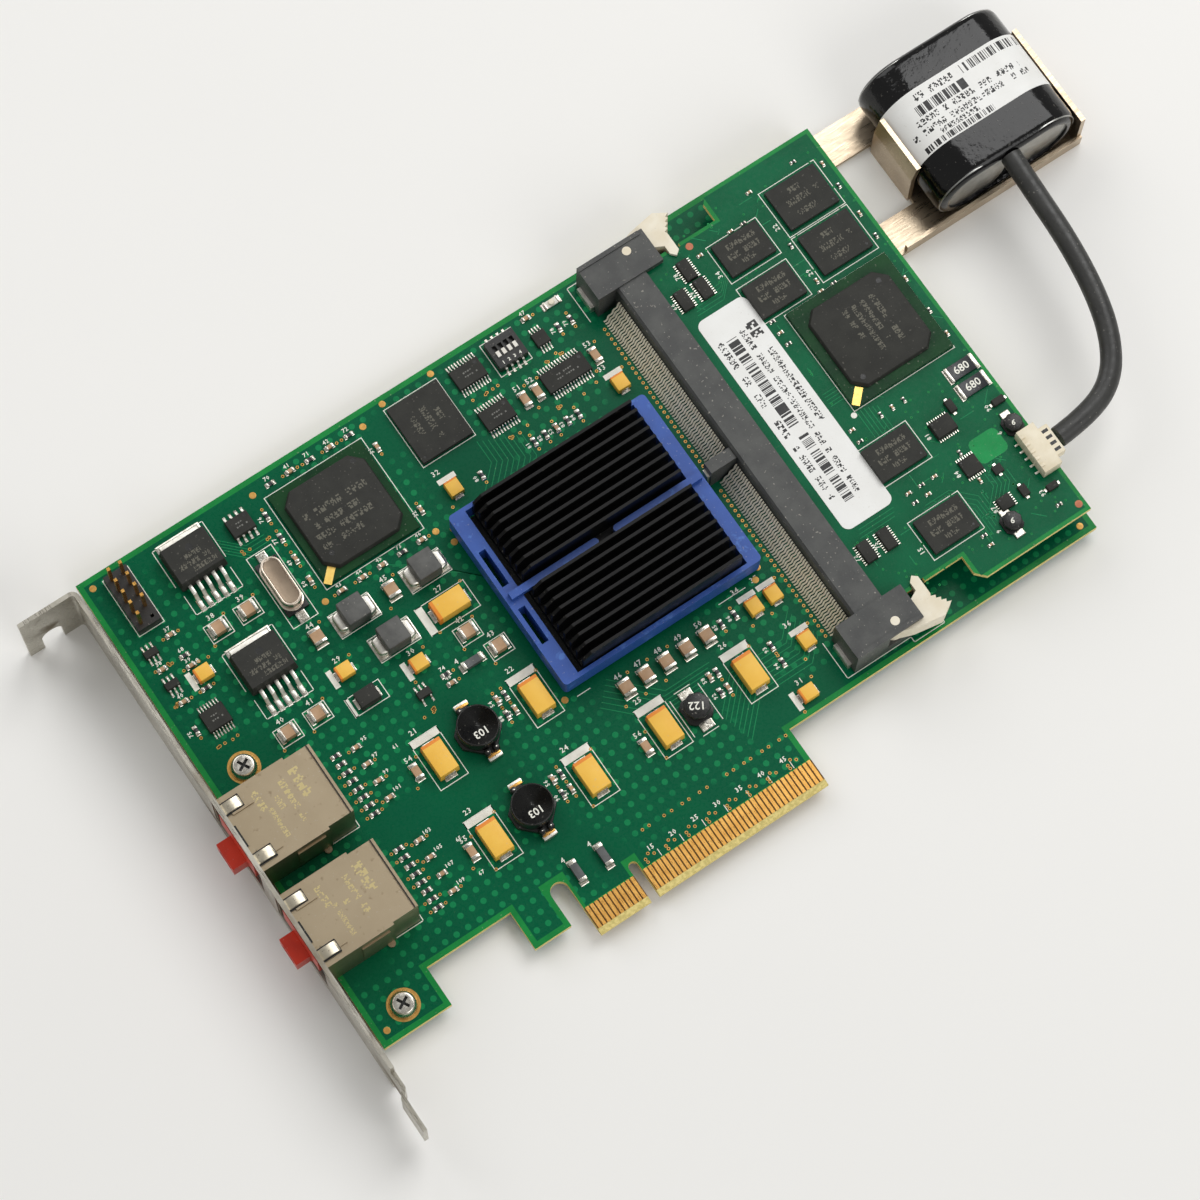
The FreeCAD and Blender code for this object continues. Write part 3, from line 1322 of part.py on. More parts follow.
# The route of the cable, from the pack's front to the plug. Each point gives its distance past
# the card's end, how far it is from the cradle's front or from the plug's middle line along the
# card, and its height.
CABLE_FROM_CRADLE = ((27.41, 1.2, 11.0), (26.91, -7.8, 10.8), (26.41, -19.3, 10.3), (24.71, -30.6, 9.9))
CABLE_FROM_PLUG = ((21.91, 10.6, 9.4), (17.21, 3.8, 9.0), (9.81, 0.5, 8.8), (1.91, 0.0, 8.7))


def cable_route():
    """The route's corners, from the pack to the plug."""
    spots = [(x, "cradle_y + %s" % y, z) for x, y, z in CABLE_FROM_CRADLE]
    spots += [(x, "%s + %s" % (HEADER_CENTRE, y), z) for x, y, z in CABLE_FROM_PLUG]
    return [FreeCAD.Vector(number("%s + %s" % (RIGHT, x)), number(y), z) for x, y, z in spots]


def backup_cable():
    """Round cable: straight runs joined by tangent arcs as large as the runs allow."""
    radius = number("cable_radius")
    route = cable_route()
    edges = []
    at = route[0]
    for before, corner, after in zip(route, route[1:], route[2:]):
        back = before - corner
        on = after - corner
        turn = math.pi - back.getAngle(on)
        reach = 0.45 * min(back.Length, on.Length)
        print("cable arc radius %.1f" % (reach / math.tan(turn / 2)))
        back.normalize()
        on.normalize()
        start = corner + back * reach
        end = corner + on * reach
        inward = (back + on).normalize()
        depth = reach / math.sin(turn / 2) - reach / math.tan(turn / 2)
        middle = corner + inward * depth
        edges.append(Part.LineSegment(at, start).toShape())
        edges.append(Part.Arc(start, middle, end).toShape())
        at = end
    edges.append(Part.LineSegment(at, route[-1]).toShape())
    path = Part.Wire(edges)
    section = Part.Wire([Part.Circle(route[0], route[1] - route[0], radius).toShape()])
    tube = path.makePipeShell([section], True, False)
    whole = math.pi * radius ** 2 * path.Length
    print("cable length %.1f, volume share %.4f" % (path.Length, tube.Volume / whole))
    item = doc.addObject("Part::Feature", "Cable")
    item.Shape = tube
    item.Placement = FreeCAD.Placement()
    return item


def stadium(start, long, radius):
    """The round-ended prism that closes round both cells, lying along Y."""
    left = "(%s + %s)" % (PACK_LEFT, PACK_RADIUS)
    right = "(%s - %s)" % (PACK_RIGHT, PACK_RADIUS)
    low = "%s - %s" % (PACK_Z, radius)
    high = "%s + %s" % (PACK_Z, radius)
    outline = [(right, low), (right, high, "left"), (left, high), (left, low, "left")]
    return pad("XZ", start, long, [outline])


def capacitor_cells():
    """The two cans, side by side."""
    cans = []
    for x in ("(%s + %s)" % (PACK_LEFT, PACK_RADIUS), "(%s - %s)" % (PACK_RIGHT, PACK_RADIUS)):
        can = pad("XZ", PACK_Y + " + 0.6", "cell_long", [("circle", x, PACK_Z, "cell_radius")])
        cans.append(can)
    return group(cans)


def pack_sleeve():
    """Shrink sleeve drawn round both cells, its mouth turned in over the front of the cans."""
    skin = stadium(PACK_Y, "sleeve_long", PACK_RADIUS)
    hollow = stadium(PACK_Y + " + 0.55", "sleeve_long", "(cell_radius + 0.02)")
    mouth = stadium(PACK_Y + " - 1", "3", "(cell_radius - 1.5)")
    return less(skin, [hollow, mouth])


def pack_label():
    """Paper band over the top of the pack, down to the cradle's walls."""
    start = PACK_Y + " + 8.4"
    outside = stadium(start, "12.6", PACK_RADIUS + " + 0.12")
    inside = stadium(start + " - 1", "16", PACK_RADIUS + " + 0.03")
    below = block((PACK_LEFT + " - 5", start + " - 2", "-10"),
                  (PACK_RIGHT + " + 5", start + " + 16", "cradle_sheet"))
    return less(outside, [inside, below])


def pack_cradle():
    """Folded steel cradle: windowed floor under the card's end, front lip, left tab, right wall."""
    floor_z = "-lie_depth"
    left = "(%s - cradle_in)" % RIGHT
    wall = "(%s + pack_clear + 0.1)" % PACK_RIGHT
    tab = "(%s - pack_clear - cradle_sheet)" % PACK_LEFT
    back = "(cradle_y + cradle_deep)"
    bend = "(cell_radius + sleeve_thick + 1.3 - lie_depth)"
    floor = pad("XY", floor_z, "cradle_sheet", [
        rectangle(left, "cradle_y", wall + " + cradle_sheet", back),
        rectangle(left + " + 4.5", "cradle_y + cradle_arm", tab + " + 0.6", back + " - cradle_arm"),
    ])
    holes = [("circle", x, y, "1.3") for x, y in cradle_screw_spots()]
    pocket(floor, "XY", "-lie_depth - 1", "3", holes)
    lip = block(("%s + 3.4" % RIGHT, "cradle_y", floor_z),
                (wall + " + cradle_sheet", "cradle_y + cradle_sheet - 0.2", "3.3 - lie_depth"))
    right = block((wall, "cradle_y + 0.5", floor_z),
                  (wall + " + cradle_sheet", "cradle_y + 23.7", "11 - lie_depth"))
    upright = [
        (tab, floor_z),
        (tab + " + cradle_sheet", floor_z),
        (tab + " + cradle_sheet", bend),
        (tab + " + cradle_sheet + 0.9", bend + " + 4.4"),
        (tab + " + 0.9", bend + " + 4.5"),
        (tab, bend + " + 0.1"),
    ]
    left_tab = pad("XZ", "cradle_y + 9.1", "12.5", [upright])
    bridge = block((tab, "cradle_y + 9.1", floor_z),
                   (tab + " + 2", "cradle_y + 21.6", "cradle_sheet - lie_depth"))
    return joined([floor, lip, right, left_tab, bridge])


def cradle_spacers():
    """Six-sided spacers that hold the cradle clear of the solder side."""
    spacers = []
    base = "cradle_sheet - lie_depth"
    tall = "lie_depth - cradle_sheet - board_thick"
    for x, y in cradle_screw_spots():
        corners = []
        for place in range(6):
            angle = math.radians(60 * place)
            along, across = 2.6 * math.cos(angle), 2.6 * math.sin(angle)
            corners.append(("%s + %.4f" % (x, along), "%s + %.4f" % (y, across)))
        spacers.append(pad("XY", base, tall, [corners, ("circle", x, y, "1.4")]))
    return group(spacers)


# Build ---------------------------------------------------------------------------------------

SINGLE = (
    main_board, edge_contacts, io_bracket, board_screws, jack_contacts, processor_package,
    heatsink, heatsink_frame, network_chip, flash_chip, small_chips, chip_leads, regulator_bodies,
    regulator_leads, crystal, square_inductors, power_inductors, drum_inductor, ferrites,
    tantalum_capacitors_large, tantalum_capacitors_small, diode, ceramic_capacitors_large,
    small_capacitors, small_resistors, status_led, pin_header_body, pin_header_pins,
    dip_switch_body, memory_socket, latch_pins, socket_contacts, socket_hold_downs, module_board,
    module_controller, module_memory_chips, module_flash_chips, module_small_chips,
    module_small_parts, module_label, cable_header, cable_plug, backup_cable, capacitor_cells,
    pack_sleeve, pack_label, pack_cradle, cradle_spacers,
)
for maker in SINGLE:
    keep(maker.__name__, maker())
for side, place in (("lower", 0), ("upper", 1)):
    keep("jack_shield_" + side, jack_shield(place))
    keep("jack_housing_" + side, jack_housing(place))
    keep("dust_plug_" + side, dust_plug(place))
for place in range(4):
    keep("switch_slider_%d" % (place + 1), switch_slider(place))
lower = keep("latch_lower", latch_lower())
keep("latch_upper", mirrored(lower))

doc.recompute()

for item in doc.Objects:
    if "Invalid" in item.State or "Error" in item.State:
        raise RuntimeError("%s (%s) failed: %s" % (item.Name, item.Label, item.State))
for name, item in NODES.items():
    if item.Shape.isNull() or not item.Shape.isValid():
        raise RuntimeError("%s has no valid shape" % name)
    if not item.Shape.Solids:
        raise RuntimeError("%s has no solid" % name)

os.makedirs("parts", exist_ok=True)
for name, item in NODES.items():
    item.Shape.exportStep("parts/%s.step" % name)
print("%d sub-parts written" % len(NODES))
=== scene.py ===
# %% [markdown]
# # A raid controller card, dressed in Blender
# The measured card comes in as a fixed frame of named pieces. Each part of this lesson takes one
# piece or one finish, says what it is on a real card, and gives it that look. Plated steel,
# solder, moulded plastic and lacquered board all catch the light differently, and most of the
# work is in keeping those differences.

# %% Load the measured card
import math
import random

import bmesh
import bpy
from mathutils import Matrix, Vector

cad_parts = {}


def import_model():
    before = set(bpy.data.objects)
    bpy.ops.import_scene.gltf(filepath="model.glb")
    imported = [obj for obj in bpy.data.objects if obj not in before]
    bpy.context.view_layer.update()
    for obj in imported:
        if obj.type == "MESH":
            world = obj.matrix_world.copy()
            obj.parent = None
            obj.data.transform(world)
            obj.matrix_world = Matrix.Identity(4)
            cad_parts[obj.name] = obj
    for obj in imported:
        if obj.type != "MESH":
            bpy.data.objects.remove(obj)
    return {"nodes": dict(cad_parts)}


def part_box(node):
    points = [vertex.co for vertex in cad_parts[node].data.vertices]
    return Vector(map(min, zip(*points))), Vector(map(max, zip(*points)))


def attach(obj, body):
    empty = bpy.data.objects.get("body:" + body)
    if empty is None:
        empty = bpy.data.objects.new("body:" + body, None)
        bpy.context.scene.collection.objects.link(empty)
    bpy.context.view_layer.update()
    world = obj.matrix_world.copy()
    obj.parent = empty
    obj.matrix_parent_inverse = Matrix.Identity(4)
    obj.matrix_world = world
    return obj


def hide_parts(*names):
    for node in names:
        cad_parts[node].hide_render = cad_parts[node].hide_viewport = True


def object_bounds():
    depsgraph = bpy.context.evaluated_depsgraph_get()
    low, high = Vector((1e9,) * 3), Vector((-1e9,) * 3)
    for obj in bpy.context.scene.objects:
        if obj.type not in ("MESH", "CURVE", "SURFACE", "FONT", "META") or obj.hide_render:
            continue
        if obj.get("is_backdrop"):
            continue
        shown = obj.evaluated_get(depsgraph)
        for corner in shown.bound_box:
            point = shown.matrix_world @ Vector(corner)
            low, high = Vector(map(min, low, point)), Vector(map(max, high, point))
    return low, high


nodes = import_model()["nodes"]
cad_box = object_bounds()
MM = 0.001
print("the card fills", [tuple(round(v / MM, 1) for v in corner) for corner in cad_box], "mm")

# %% [markdown]
# ## Camera
# A small flat object is usually taken from above with a long lens, so that its square corners
# stay square. The camera could be aimed with a Track To constraint, but its roll matters here
# because the card lies turned on the table, so its own three directions are given instead.

# %% Camera
CAMERA_AT = Vector((-107.24, -124.23, 723.78)) * MM
CAMERA_RIGHT = Vector((0.828074, -0.560486, 0.012211))
CAMERA_LOOK = Vector((0.173170, 0.235007, -0.956443))
bpy.ops.object.camera_add(location=CAMERA_AT)
camera = bpy.context.object
camera.name = "camera"
camera.data.sensor_width = 36
camera.data.lens = 119.93
camera.data.clip_start = 0.05
axes = Matrix((CAMERA_RIGHT, CAMERA_RIGHT.cross(CAMERA_LOOK), -CAMERA_LOOK)).transposed()
camera.matrix_world = Matrix.Translation(CAMERA_AT) @ axes.to_4x4()
bpy.context.scene.camera = camera
print("camera is", round(CAMERA_AT.length, 3), "m from the card edge")

# %% [markdown]
# ## The backup cable
# The wires run in one soft jacket from the capacitor pack to the plug on the cache module. A
# cable is a fixed length of something flexible, so it is one smooth spline through the air,
# thickened by its own bevel, and not a chain of bent pipes.

# %% Cable
CABLE_ROUTE = [
    (138.0, 81.0, 11.0),
    (137.5, 72.0, 10.8),
    (137.0, 60.5, 10.3),
    (135.3, 49.2, 9.9),
    (132.5, 40.4, 9.4),
    (127.8, 33.6, 9.0),
    (120.4, 30.3, 8.8),
    (112.5, 29.8, 8.7),
]
CABLE_ACROSS = 4.3 * MM
cable_line = bpy.data.curves.new("cable_sleeve", "CURVE")
cable_line.dimensions = "3D"
spline = cable_line.splines.new("NURBS")
spline.points.add(len(CABLE_ROUTE) - 1)
for point, place in zip(spline.points, CABLE_ROUTE):
    point.co = (*(Vector(place) * MM), 1)
    point.radius = CABLE_ACROSS / 2  # a curve's box grows by this, so it holds the real radius
spline.order_u = 3
spline.use_endpoint_u = True
spline.resolution_u = 16
cable_line.bevel_depth = 1.0
cable_line.bevel_resolution = 6
cable_line.use_fill_caps = True
cable = bpy.data.objects.new("cable_sleeve", cable_line)
bpy.context.scene.collection.objects.link(cable)
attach(cable, "card")
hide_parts("backup_cable")

# %% [markdown]
# ## Building blocks for finishes
# Real surfaces are never one flat value. One shared group gives every finish its slow drift of
# colour, its fine grain for roughness and relief, and a few specks of dust. Each material sets
# its own amounts. Patterns such as a bare edge or a row of dots are laid over it with masks.

# %% Node helpers
def tone(red, green, blue):
    """Turn a colour written from 0 to 255, as on a paint card, into the values a shader uses."""
    parts = []
    for value in (red, green, blue):
        value /= 255
        parts.append(value / 12.92 if value <= 0.04045 else ((value + 0.055) / 1.055) ** 2.4)
    return (*parts, 1)


def add_node(tree, kind, inputs=None, **settings):
    """Add one node. An input given as a socket is linked, and anything else is set on it."""
    made = tree.nodes.new("ShaderNode" + kind)
    for name, value in settings.items():
        setattr(made, name, value)
    for name, value in (inputs or {}).items():
        if isinstance(value, bpy.types.NodeSocket):
            tree.links.new(value, made.inputs[name])
        else:
            made.inputs[name].default_value = value
    return made


def sum_of(tree, operation, first, second=0.0, third=0.0):
    """One Math node's result."""
    return add_node(tree, "Math", {0: first, 1: second, 2: third}, operation=operation).outputs[0]


def mixed(tree, share, first, second):
    """Mix two colours."""
    return add_node(tree, "Mix", {0: share, 6: first, 7: second}, data_type="RGBA").outputs[2]


def ramp(tree, value, low, high, start=0.0, end=1.0):
    """Carry a value from one range to another, and hold it at both ends."""
    marks = {"Value": value, "From Min": low, "From Max": high, "To Min": start, "To Max": end}
    return add_node(tree, "MapRange", marks).outputs[0]


def noise(tree, scale, detail, stretch=None, rough=0.5):
    """Noise on the object's own coordinates, which may be stretched first."""
    spot = add_node(tree, "TexCoord").outputs["Object"]
    if stretch is not None:
        drawn = add_node(tree, "VectorMath", {0: spot, 1: stretch}, operation="MULTIPLY")
        spot = drawn.outputs[0]
    marks = {"Vector": spot, "Scale": scale, "Detail": detail, "Roughness": rough}
    return add_node(tree, "TexNoise", marks).outputs[0]


def new_group(name, inputs, outputs):
    """Start a shared node group with named sockets, and return it with its two ends."""
    group = bpy.data.node_groups.new(name, "ShaderNodeTree")
    for way, sockets in (("INPUT", inputs), ("OUTPUT", outputs)):
        for label, kind in sockets.items():
            group.interface.new_socket(label, in_out=way, socket_type="NodeSocket" + kind)
    start, end = group.nodes.new("NodeGroupInput"), group.nodes.new("NodeGroupOutput")
    return group, start.outputs, end.inputs


# %% Shared surface group
SURFACE_INPUTS = {
    "Base": "Color", "Second": "Color", "Patch Scale": "Float", "Patch Amount": "Float",
    "Stretch": "Vector", "Grain Scale": "Float", "Rough Low": "Float", "Rough High": "Float",
    "Dust": "Float",
}
SURFACE_OUTPUTS = {"Color": "Color", "Roughness": "Float", "Height": "Float"}
surface, given, result = new_group("surface", SURFACE_INPUTS, SURFACE_OUTPUTS)
DUST_TONE = tone(196, 190, 178)
DUST_SCALE = 1900
share = ramp(surface, noise(surface, given["Patch Scale"], 4), 0.38, 0.64)
share = sum_of(surface, "MULTIPLY", share, given["Patch Amount"])
body = mixed(surface, share, given["Base"], given["Second"])
grain = noise(surface, given["Grain Scale"], 3, given["Stretch"], 0.6)
dusty = ramp(surface, noise(surface, DUST_SCALE, 1), 0.7, 0.76, 0.0, given["Dust"])
rough = ramp(surface, grain, 0.35, 0.65, given["Rough Low"], given["Rough High"])
surface.links.new(mixed(surface, dusty, body, DUST_TONE), result["Color"])
surface.links.new(sum_of(surface, "MULTIPLY_ADD", dusty, 0.3, rough), result["Roughness"])
surface.links.new(sum_of(surface, "MULTIPLY_ADD", dusty, 0.8, grain), result["Height"])


# %% Material maker
def finish(name, base, second, rough, patch=(300, 0.6), grain=2500, stretch=(1, 1, 1),
           relief=(0.2, 0.02), metallic=0.0, specular=0.5, coat=0.0, dust=0.25):
    """A material on the shared surface group. Relief is the strength and depth in millimetres."""
    made = bpy.data.materials.new(name)
    made.use_nodes = True
    tree = made.node_tree
    tree.nodes.clear()
    look = add_node(tree, "Group", node_tree=surface)
    values = (tone(*base), tone(*second), *patch, stretch, grain, *rough, dust)
    for label, value in zip(SURFACE_INPUTS, values):
        look.inputs[label].default_value = value
    height = {"Height": look.outputs["Height"], "Strength": relief[0], "Distance": relief[1] * MM}
    bump = add_node(tree, "Bump", height, name="relief")
    values = {
        "Base Color": look.outputs["Color"],
        "Roughness": look.outputs["Roughness"],
        "Normal": bump.outputs[0],
        "Metallic": metallic,
        "Specular IOR Level": specular,
        "Coat Weight": coat,
        "Coat Roughness": 0.12,
    }
    shader = add_node(tree, "BsdfPrincipled", values, name="shader")
    add_node(tree, "OutputMaterial", {0: shader.outputs[0]})
    return made


def overlay(made, mask, colour, rough=None):
    """Lay another colour, and perhaps another roughness, over a material where a mask says so."""
    tree = made.node_tree
    sockets = tree.nodes["shader"].inputs
    below = sockets["Base Color"].links[0].from_socket
    tree.links.new(mixed(tree, mask, below, colour), sockets["Base Color"])
    if rough is not None:
        below = sockets["Roughness"].links[0].from_socket
        blend = add_node(tree, "Mix", {0: mask, 2: below, 3: rough})
        tree.links.new(blend.outputs[0], sockets["Roughness"])


def place_of(made, axis):
    """One object coordinate, in millimetres."""
    tree = made.node_tree
    spot = add_node(tree, "TexCoord").outputs["Object"]
    value = add_node(tree, "SeparateXYZ", {0: spot}).outputs[axis]
    return sum_of(tree, "DIVIDE", value, MM)


def above(made, value, edge, soft=0.05):
    """1 where a value is above an edge, 0 below it."""
    return ramp(made.node_tree, value, edge - soft, edge + soft)


def below(made, value, edge, soft=0.05):
    """1 where a value is below an edge, 0 above it."""
    return sum_of(made.node_tree, "SUBTRACT", 1, above(made, value, edge, soft))


def blotches(made, scale, low, high, stretch=(1, 1, 1), detail=5):
    """A soft noise mask, for wear and smears."""
    return ramp(made.node_tree, noise(made.node_tree, scale, detail, stretch), low, high)


def dress(names, made):
    """Give CAD nodes a material."""
    for name in names.split():
        nodes[name].data.materials.clear()
        nodes[name].data.materials.append(made)


# %% [markdown]
# ## Table and light
# The card lies on a plain pale table under three large soft lamps, with the rest of the room as
# fill. Lamps and room together give the top faces about the light at which a colour renders as
# it is written, so no colour has to be cheated later.

# %% Table
FLOOR_REACH = 3.0
bpy.ops.object.select_all(action="DESELECT")
bpy.ops.mesh.primitive_plane_add(size=2 * FLOOR_REACH, location=(0, 0, cad_box[0].z))
floor = bpy.context.object
floor.name = "table_top"
bpy.ops.object.transform_apply(location=True, rotation=True, scale=True)
floor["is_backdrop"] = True
floor.data.materials.append(finish(
    "table_paint", (246, 245, 242), (242, 241, 238), (0.6, 0.7), patch=(4, 0.5), grain=900,
    relief=(0.02, 0.05), specular=0.2, dust=0.0,
))

# %% Lamps and room
LAMP_SIZE = 0.9
LAMPS = (  # place in metres and power in watts
    ("key_lamp", (0.8, 0.4, 1.2), 9),
    ("side_lamp", (-0.15, 1.1, 0.8), 4.5),
    ("front_lamp", (0.25, -1.1, 0.85), 5.5),
)
ROOM_LIGHT = 0.36
BACKDROP_LIGHT = 0.9
for name, place, power in LAMPS:
    bpy.ops.object.light_add(type="AREA", location=place)
    lamp = bpy.context.object
    lamp.name = name
    lamp.data.size = LAMP_SIZE
    lamp.data.energy = power
    aim = (cad_box[0] + cad_box[1]) / 2 - Vector(place)
    lamp.rotation_euler = aim.to_track_quat("-Z", "Y").to_euler()
world = bpy.data.worlds.new("room")
bpy.context.scene.world = world
world.use_nodes = True
room = world.node_tree
room.nodes.clear()
ray = add_node(room, "LightPath").outputs
seen = sum_of(room, "MAXIMUM", ray["Is Camera Ray"], ray["Is Transmission Ray"])
light = ramp(room, seen, 0.0, 1.0, ROOM_LIGHT, BACKDROP_LIGHT)
backdrop = add_node(room, "Background", {"Color": (1.0, 0.995, 0.98, 1), "Strength": light})
add_node(room, "OutputWorld", {0: backdrop.outputs[0]})
bpy.context.scene.view_settings.view_transform = "Standard"

# %% [markdown]
# ## Printed board
# A card is woven glass in resin with a green lacquer on both faces. Its sawn edges stay bare and
# straw coloured, and so does the bevelled strip below the gold contacts. Both come from masks on
# the board's own coordinates, so the sheet itself needs no extra parts.

# %% Board material
BEVEL_TOP = 1.25
CONTACT_TOP = 5.75
CONTACT_LEFT = -12.6
lacquer = finish(
    "board_lacquer", (24, 138, 64), (12, 112, 52), (0.26, 0.4), patch=(180, 0.6),
    grain=1400, relief=(0.15, 0.02), specular=0.15,
)
tree = lacquer.node_tree
among = below(lacquer, place_of(lacquer, "Y"), CONTACT_TOP)
among = sum_of(tree, "MULTIPLY", among, above(lacquer, place_of(lacquer, "X"), CONTACT_LEFT))
overlay(lacquer, among, tone(92, 62, 26), 0.5)
normal = add_node(tree, "NewGeometry").outputs["Normal"]
level = sum_of(tree, "ABSOLUTE", add_node(tree, "SeparateXYZ", {0: normal}).outputs["Z"])
sawn = sum_of(tree, "LESS_THAN", level, 0.6)
strip = below(lacquer, place_of(lacquer, "Y"), BEVEL_TOP, 0.04)
fibres = blotches(lacquer, 1500, 0.4, 0.6, (1, 1, 2.5))
laminate = mixed(tree, fibres, tone(205, 188, 116), tone(232, 214, 140))
overlay(lacquer, sum_of(tree, "MAXIMUM", sawn, strip), laminate, 0.6)
dress("main_board module_board", lacquer)

# %% [markdown]
# ## Metals
# Gold contacts, bright tin, nickel plated steel and brushed spring steel are four different
# metals. Base colour carries the metal, and the way it was worked sets the direction of the grain:
# rolled sheet is streaky, plated pins are nearly even, solder is a little lumpy.

# %% Metal finishes
gold = finish(
    "contact_gold", (228, 176, 96), (206, 148, 72), (0.24, 0.42), patch=(500, 0.6),
    grain=1800, stretch=(3, 0.4, 1), relief=(0.1, 0.02), metallic=1.0,
)
tin = finish(
    "bright_tin", (240, 237, 228), (214, 209, 198), (0.3, 0.5), patch=(700, 0.7),
    grain=900, relief=(0.12, 0.03), metallic=1.0,
)
steel = finish(
    "bracket_nickel", (200, 196, 184), (160, 154, 140), (0.24, 0.46), patch=(120, 0.6),
    grain=500, stretch=(6, 0.5, 3), relief=(0.12, 0.03), metallic=1.0, dust=0.35,
)
overlay(steel, blotches(steel, 160, 0.55, 0.7, (1, 0.35, 1)), tone(128, 118, 100), 0.55)
can_metal = finish(
    "jack_can_tin", (180, 164, 138), (164, 148, 122), (0.34, 0.44), patch=(90, 0.5),
    grain=4200, stretch=(0.8, 1.4, 1), relief=(0.1, 0.01), metallic=1.0, dust=0.3,
)
overlay(can_metal, blotches(can_metal, 700, 0.62, 0.74, detail=7), tone(150, 134, 108), 0.48)
cradle_metal = finish(
    "cradle_steel", (205, 188, 164), (168, 148, 124), (0.26, 0.44), patch=(90, 0.6),
    grain=900, stretch=(0.4, 5, 5), relief=(0.15, 0.02), metallic=1.0, dust=0.3,
)
screw_metal = finish(
    "screw_nickel", (226, 222, 212), (188, 182, 168), (0.16, 0.32), patch=(500, 0.6),
    grain=1500, relief=(0.2, 0.03), metallic=1.0,
)
cell_can = finish(
    "cell_can", (176, 176, 172), (138, 138, 134), (0.28, 0.44), grain=900, metallic=1.0
)
solder = finish(
    "wet_solder", (222, 218, 208), (176, 170, 156), (0.14, 0.34), patch=(1100, 0.8),
    grain=1700, relief=(0.5, 0.06), metallic=1.0, dust=0.15,
)
dress("edge_contacts jack_contacts pin_header_pins", gold)
dress("socket_hold_downs", tin)
dress("io_bracket", steel)
dress("jack_shield_lower jack_shield_upper", can_metal)
dress("pack_cradle cradle_spacers", cradle_metal)
dress("capacitor_cells", cell_can)

# %% [markdown]
# ## Moulded plastics
# Chip resin is dull and fine grained, connector plastic is smoother and a little grey, and the
# clip frame is a bright blue nylon with pale scuffs. The anodised fins of the heatsink are nearly
# black, with a painted highlight that makes them a little paler along their tops. All are one
# maker with different grain, and wear is laid on afterwards.

# %% Plastic finishes
def resin(name):
    """A chip resin of its own, which can be printed on."""
    return finish(
        name, (50, 50, 47), (60, 60, 56), (0.55, 0.7), patch=(350, 0.5), grain=5200,
        relief=(0.35, 0.03), specular=0.2, dust=0.12,
    )


chip_resin = resin("chip_resin")
socket_plastic = finish(
    "socket_nylon", (62, 63, 62), (84, 85, 82), (0.4, 0.58), patch=(220, 0.6), grain=3000,
    relief=(0.25, 0.03), dust=0.4,
)
header_plastic = finish("header_nylon", (30, 30, 30), (48, 47, 45), (0.36, 0.55), grain=2600)
blue_nylon = finish(
    "clip_frame_nylon", (46, 88, 172), (36, 72, 148), (0.38, 0.52), patch=(160, 0.6),
    grain=2600, relief=(0.2, 0.03), dust=0.2,
)
overlay(blue_nylon, blotches(blue_nylon, 420, 0.6, 0.68, detail=6), tone(74, 116, 192), 0.55)
anodised = finish(
    "anodised_black", (10, 10, 10), (18, 18, 18), (0.3, 0.46), patch=(400, 0.5),
    grain=2400, stretch=(0.25, 3, 1), relief=(0.2, 0.03), specular=0.25,
)
# Painted highlight: the fin tops are painted a little paler, standing for the lit edge of each
# fin.
FIN_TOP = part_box("heatsink")[1].z / MM
fin_top_highlight = above(anodised, place_of(anodised, "Z"), FIN_TOP - 0.06, 0.03)
overlay(anodised, fin_top_highlight, tone(16, 16, 16), 0.5)
red_plastic = finish("plug_red", (208, 54, 24), (176, 40, 18), (0.3, 0.42), patch=(260, 0.5))
cream_plastic = finish(
    "latch_cream", (240, 232, 212), (222, 208, 178), (0.4, 0.52), patch=(260, 0.6)
)
white_plastic = finish(
    "plug_white", (236, 233, 224), (218, 212, 198), (0.38, 0.5), patch=(300, 0.5)
)
sleeve_film = finish(
    "pack_film", (8, 8, 9), (14, 14, 14), (0.08, 0.16), patch=(120, 0.5), grain=350,
    relief=(0.5, 0.3), specular=0.3, coat=0.15, dust=0.1,
)
cable_film = finish(
    "cable_film", (52, 52, 50), (40, 40, 39), (0.34, 0.5), patch=(200, 0.6), grain=900,
    relief=(0.5, 0.12), dust=0.2,
)
dress("processor_package", chip_resin)
dress("memory_socket", socket_plastic)
dress("pin_header_body dip_switch_body jack_housing_lower jack_housing_upper", header_plastic)
dress("heatsink_frame", blue_nylon)
dress("heatsink", anodised)
dress("dust_plug_lower dust_plug_upper", red_plastic)
dress("latch_lower latch_upper latch_pins", cream_plastic)
dress("switch_slider_1 switch_slider_2 switch_slider_3 switch_slider_4", white_plastic)
cable.data.materials.append(cable_film)

# %% [markdown]
# ## Modelling helpers
# New pieces start from a primitive at its size and place. Every operator works on all that is
# selected, so each helper clears the selection first, and faces are picked in code by their
# place or by the way they face. Sizes are given in millimetres, as on a drawing.

# %% Primitives
def mm(*values):
    """A place or size given in millimetres."""
    return Vector(values) * MM


def span(node):
    """Lowest and highest corner of a CAD node, in millimetres."""
    return [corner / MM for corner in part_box(node)]


def clear_selection():
    """Leave edit mode and select nothing."""
    if bpy.context.mode != "OBJECT":
        bpy.ops.object.mode_set(mode="OBJECT")
    bpy.ops.object.select_all(action="DESELECT")


def only(piece):
    """Select one piece and make it the active one."""
    clear_selection()
    piece.select_set(True)
    bpy.context.view_layer.objects.active = piece


def applied():
    """Put the place, turn and size of the new piece into its mesh."""
    bpy.ops.object.transform_apply(location=True, rotation=True, scale=True)
    return bpy.context.object


def block(one, other):
    """Add a cube that fills the box between two corners in millimetres."""
    low, high = mm(*map(min, one, other)), mm(*map(max, one, other))
    clear_selection()
    bpy.ops.mesh.primitive_cube_add(size=1, location=(low + high) / 2, scale=high - low)
    return applied()


def slab(x, y, half_x, half_y, low, high):
    """Add a block round a place on the board."""
    return block((x - half_x, y - half_y, low), (x + half_x, y + half_y, high))


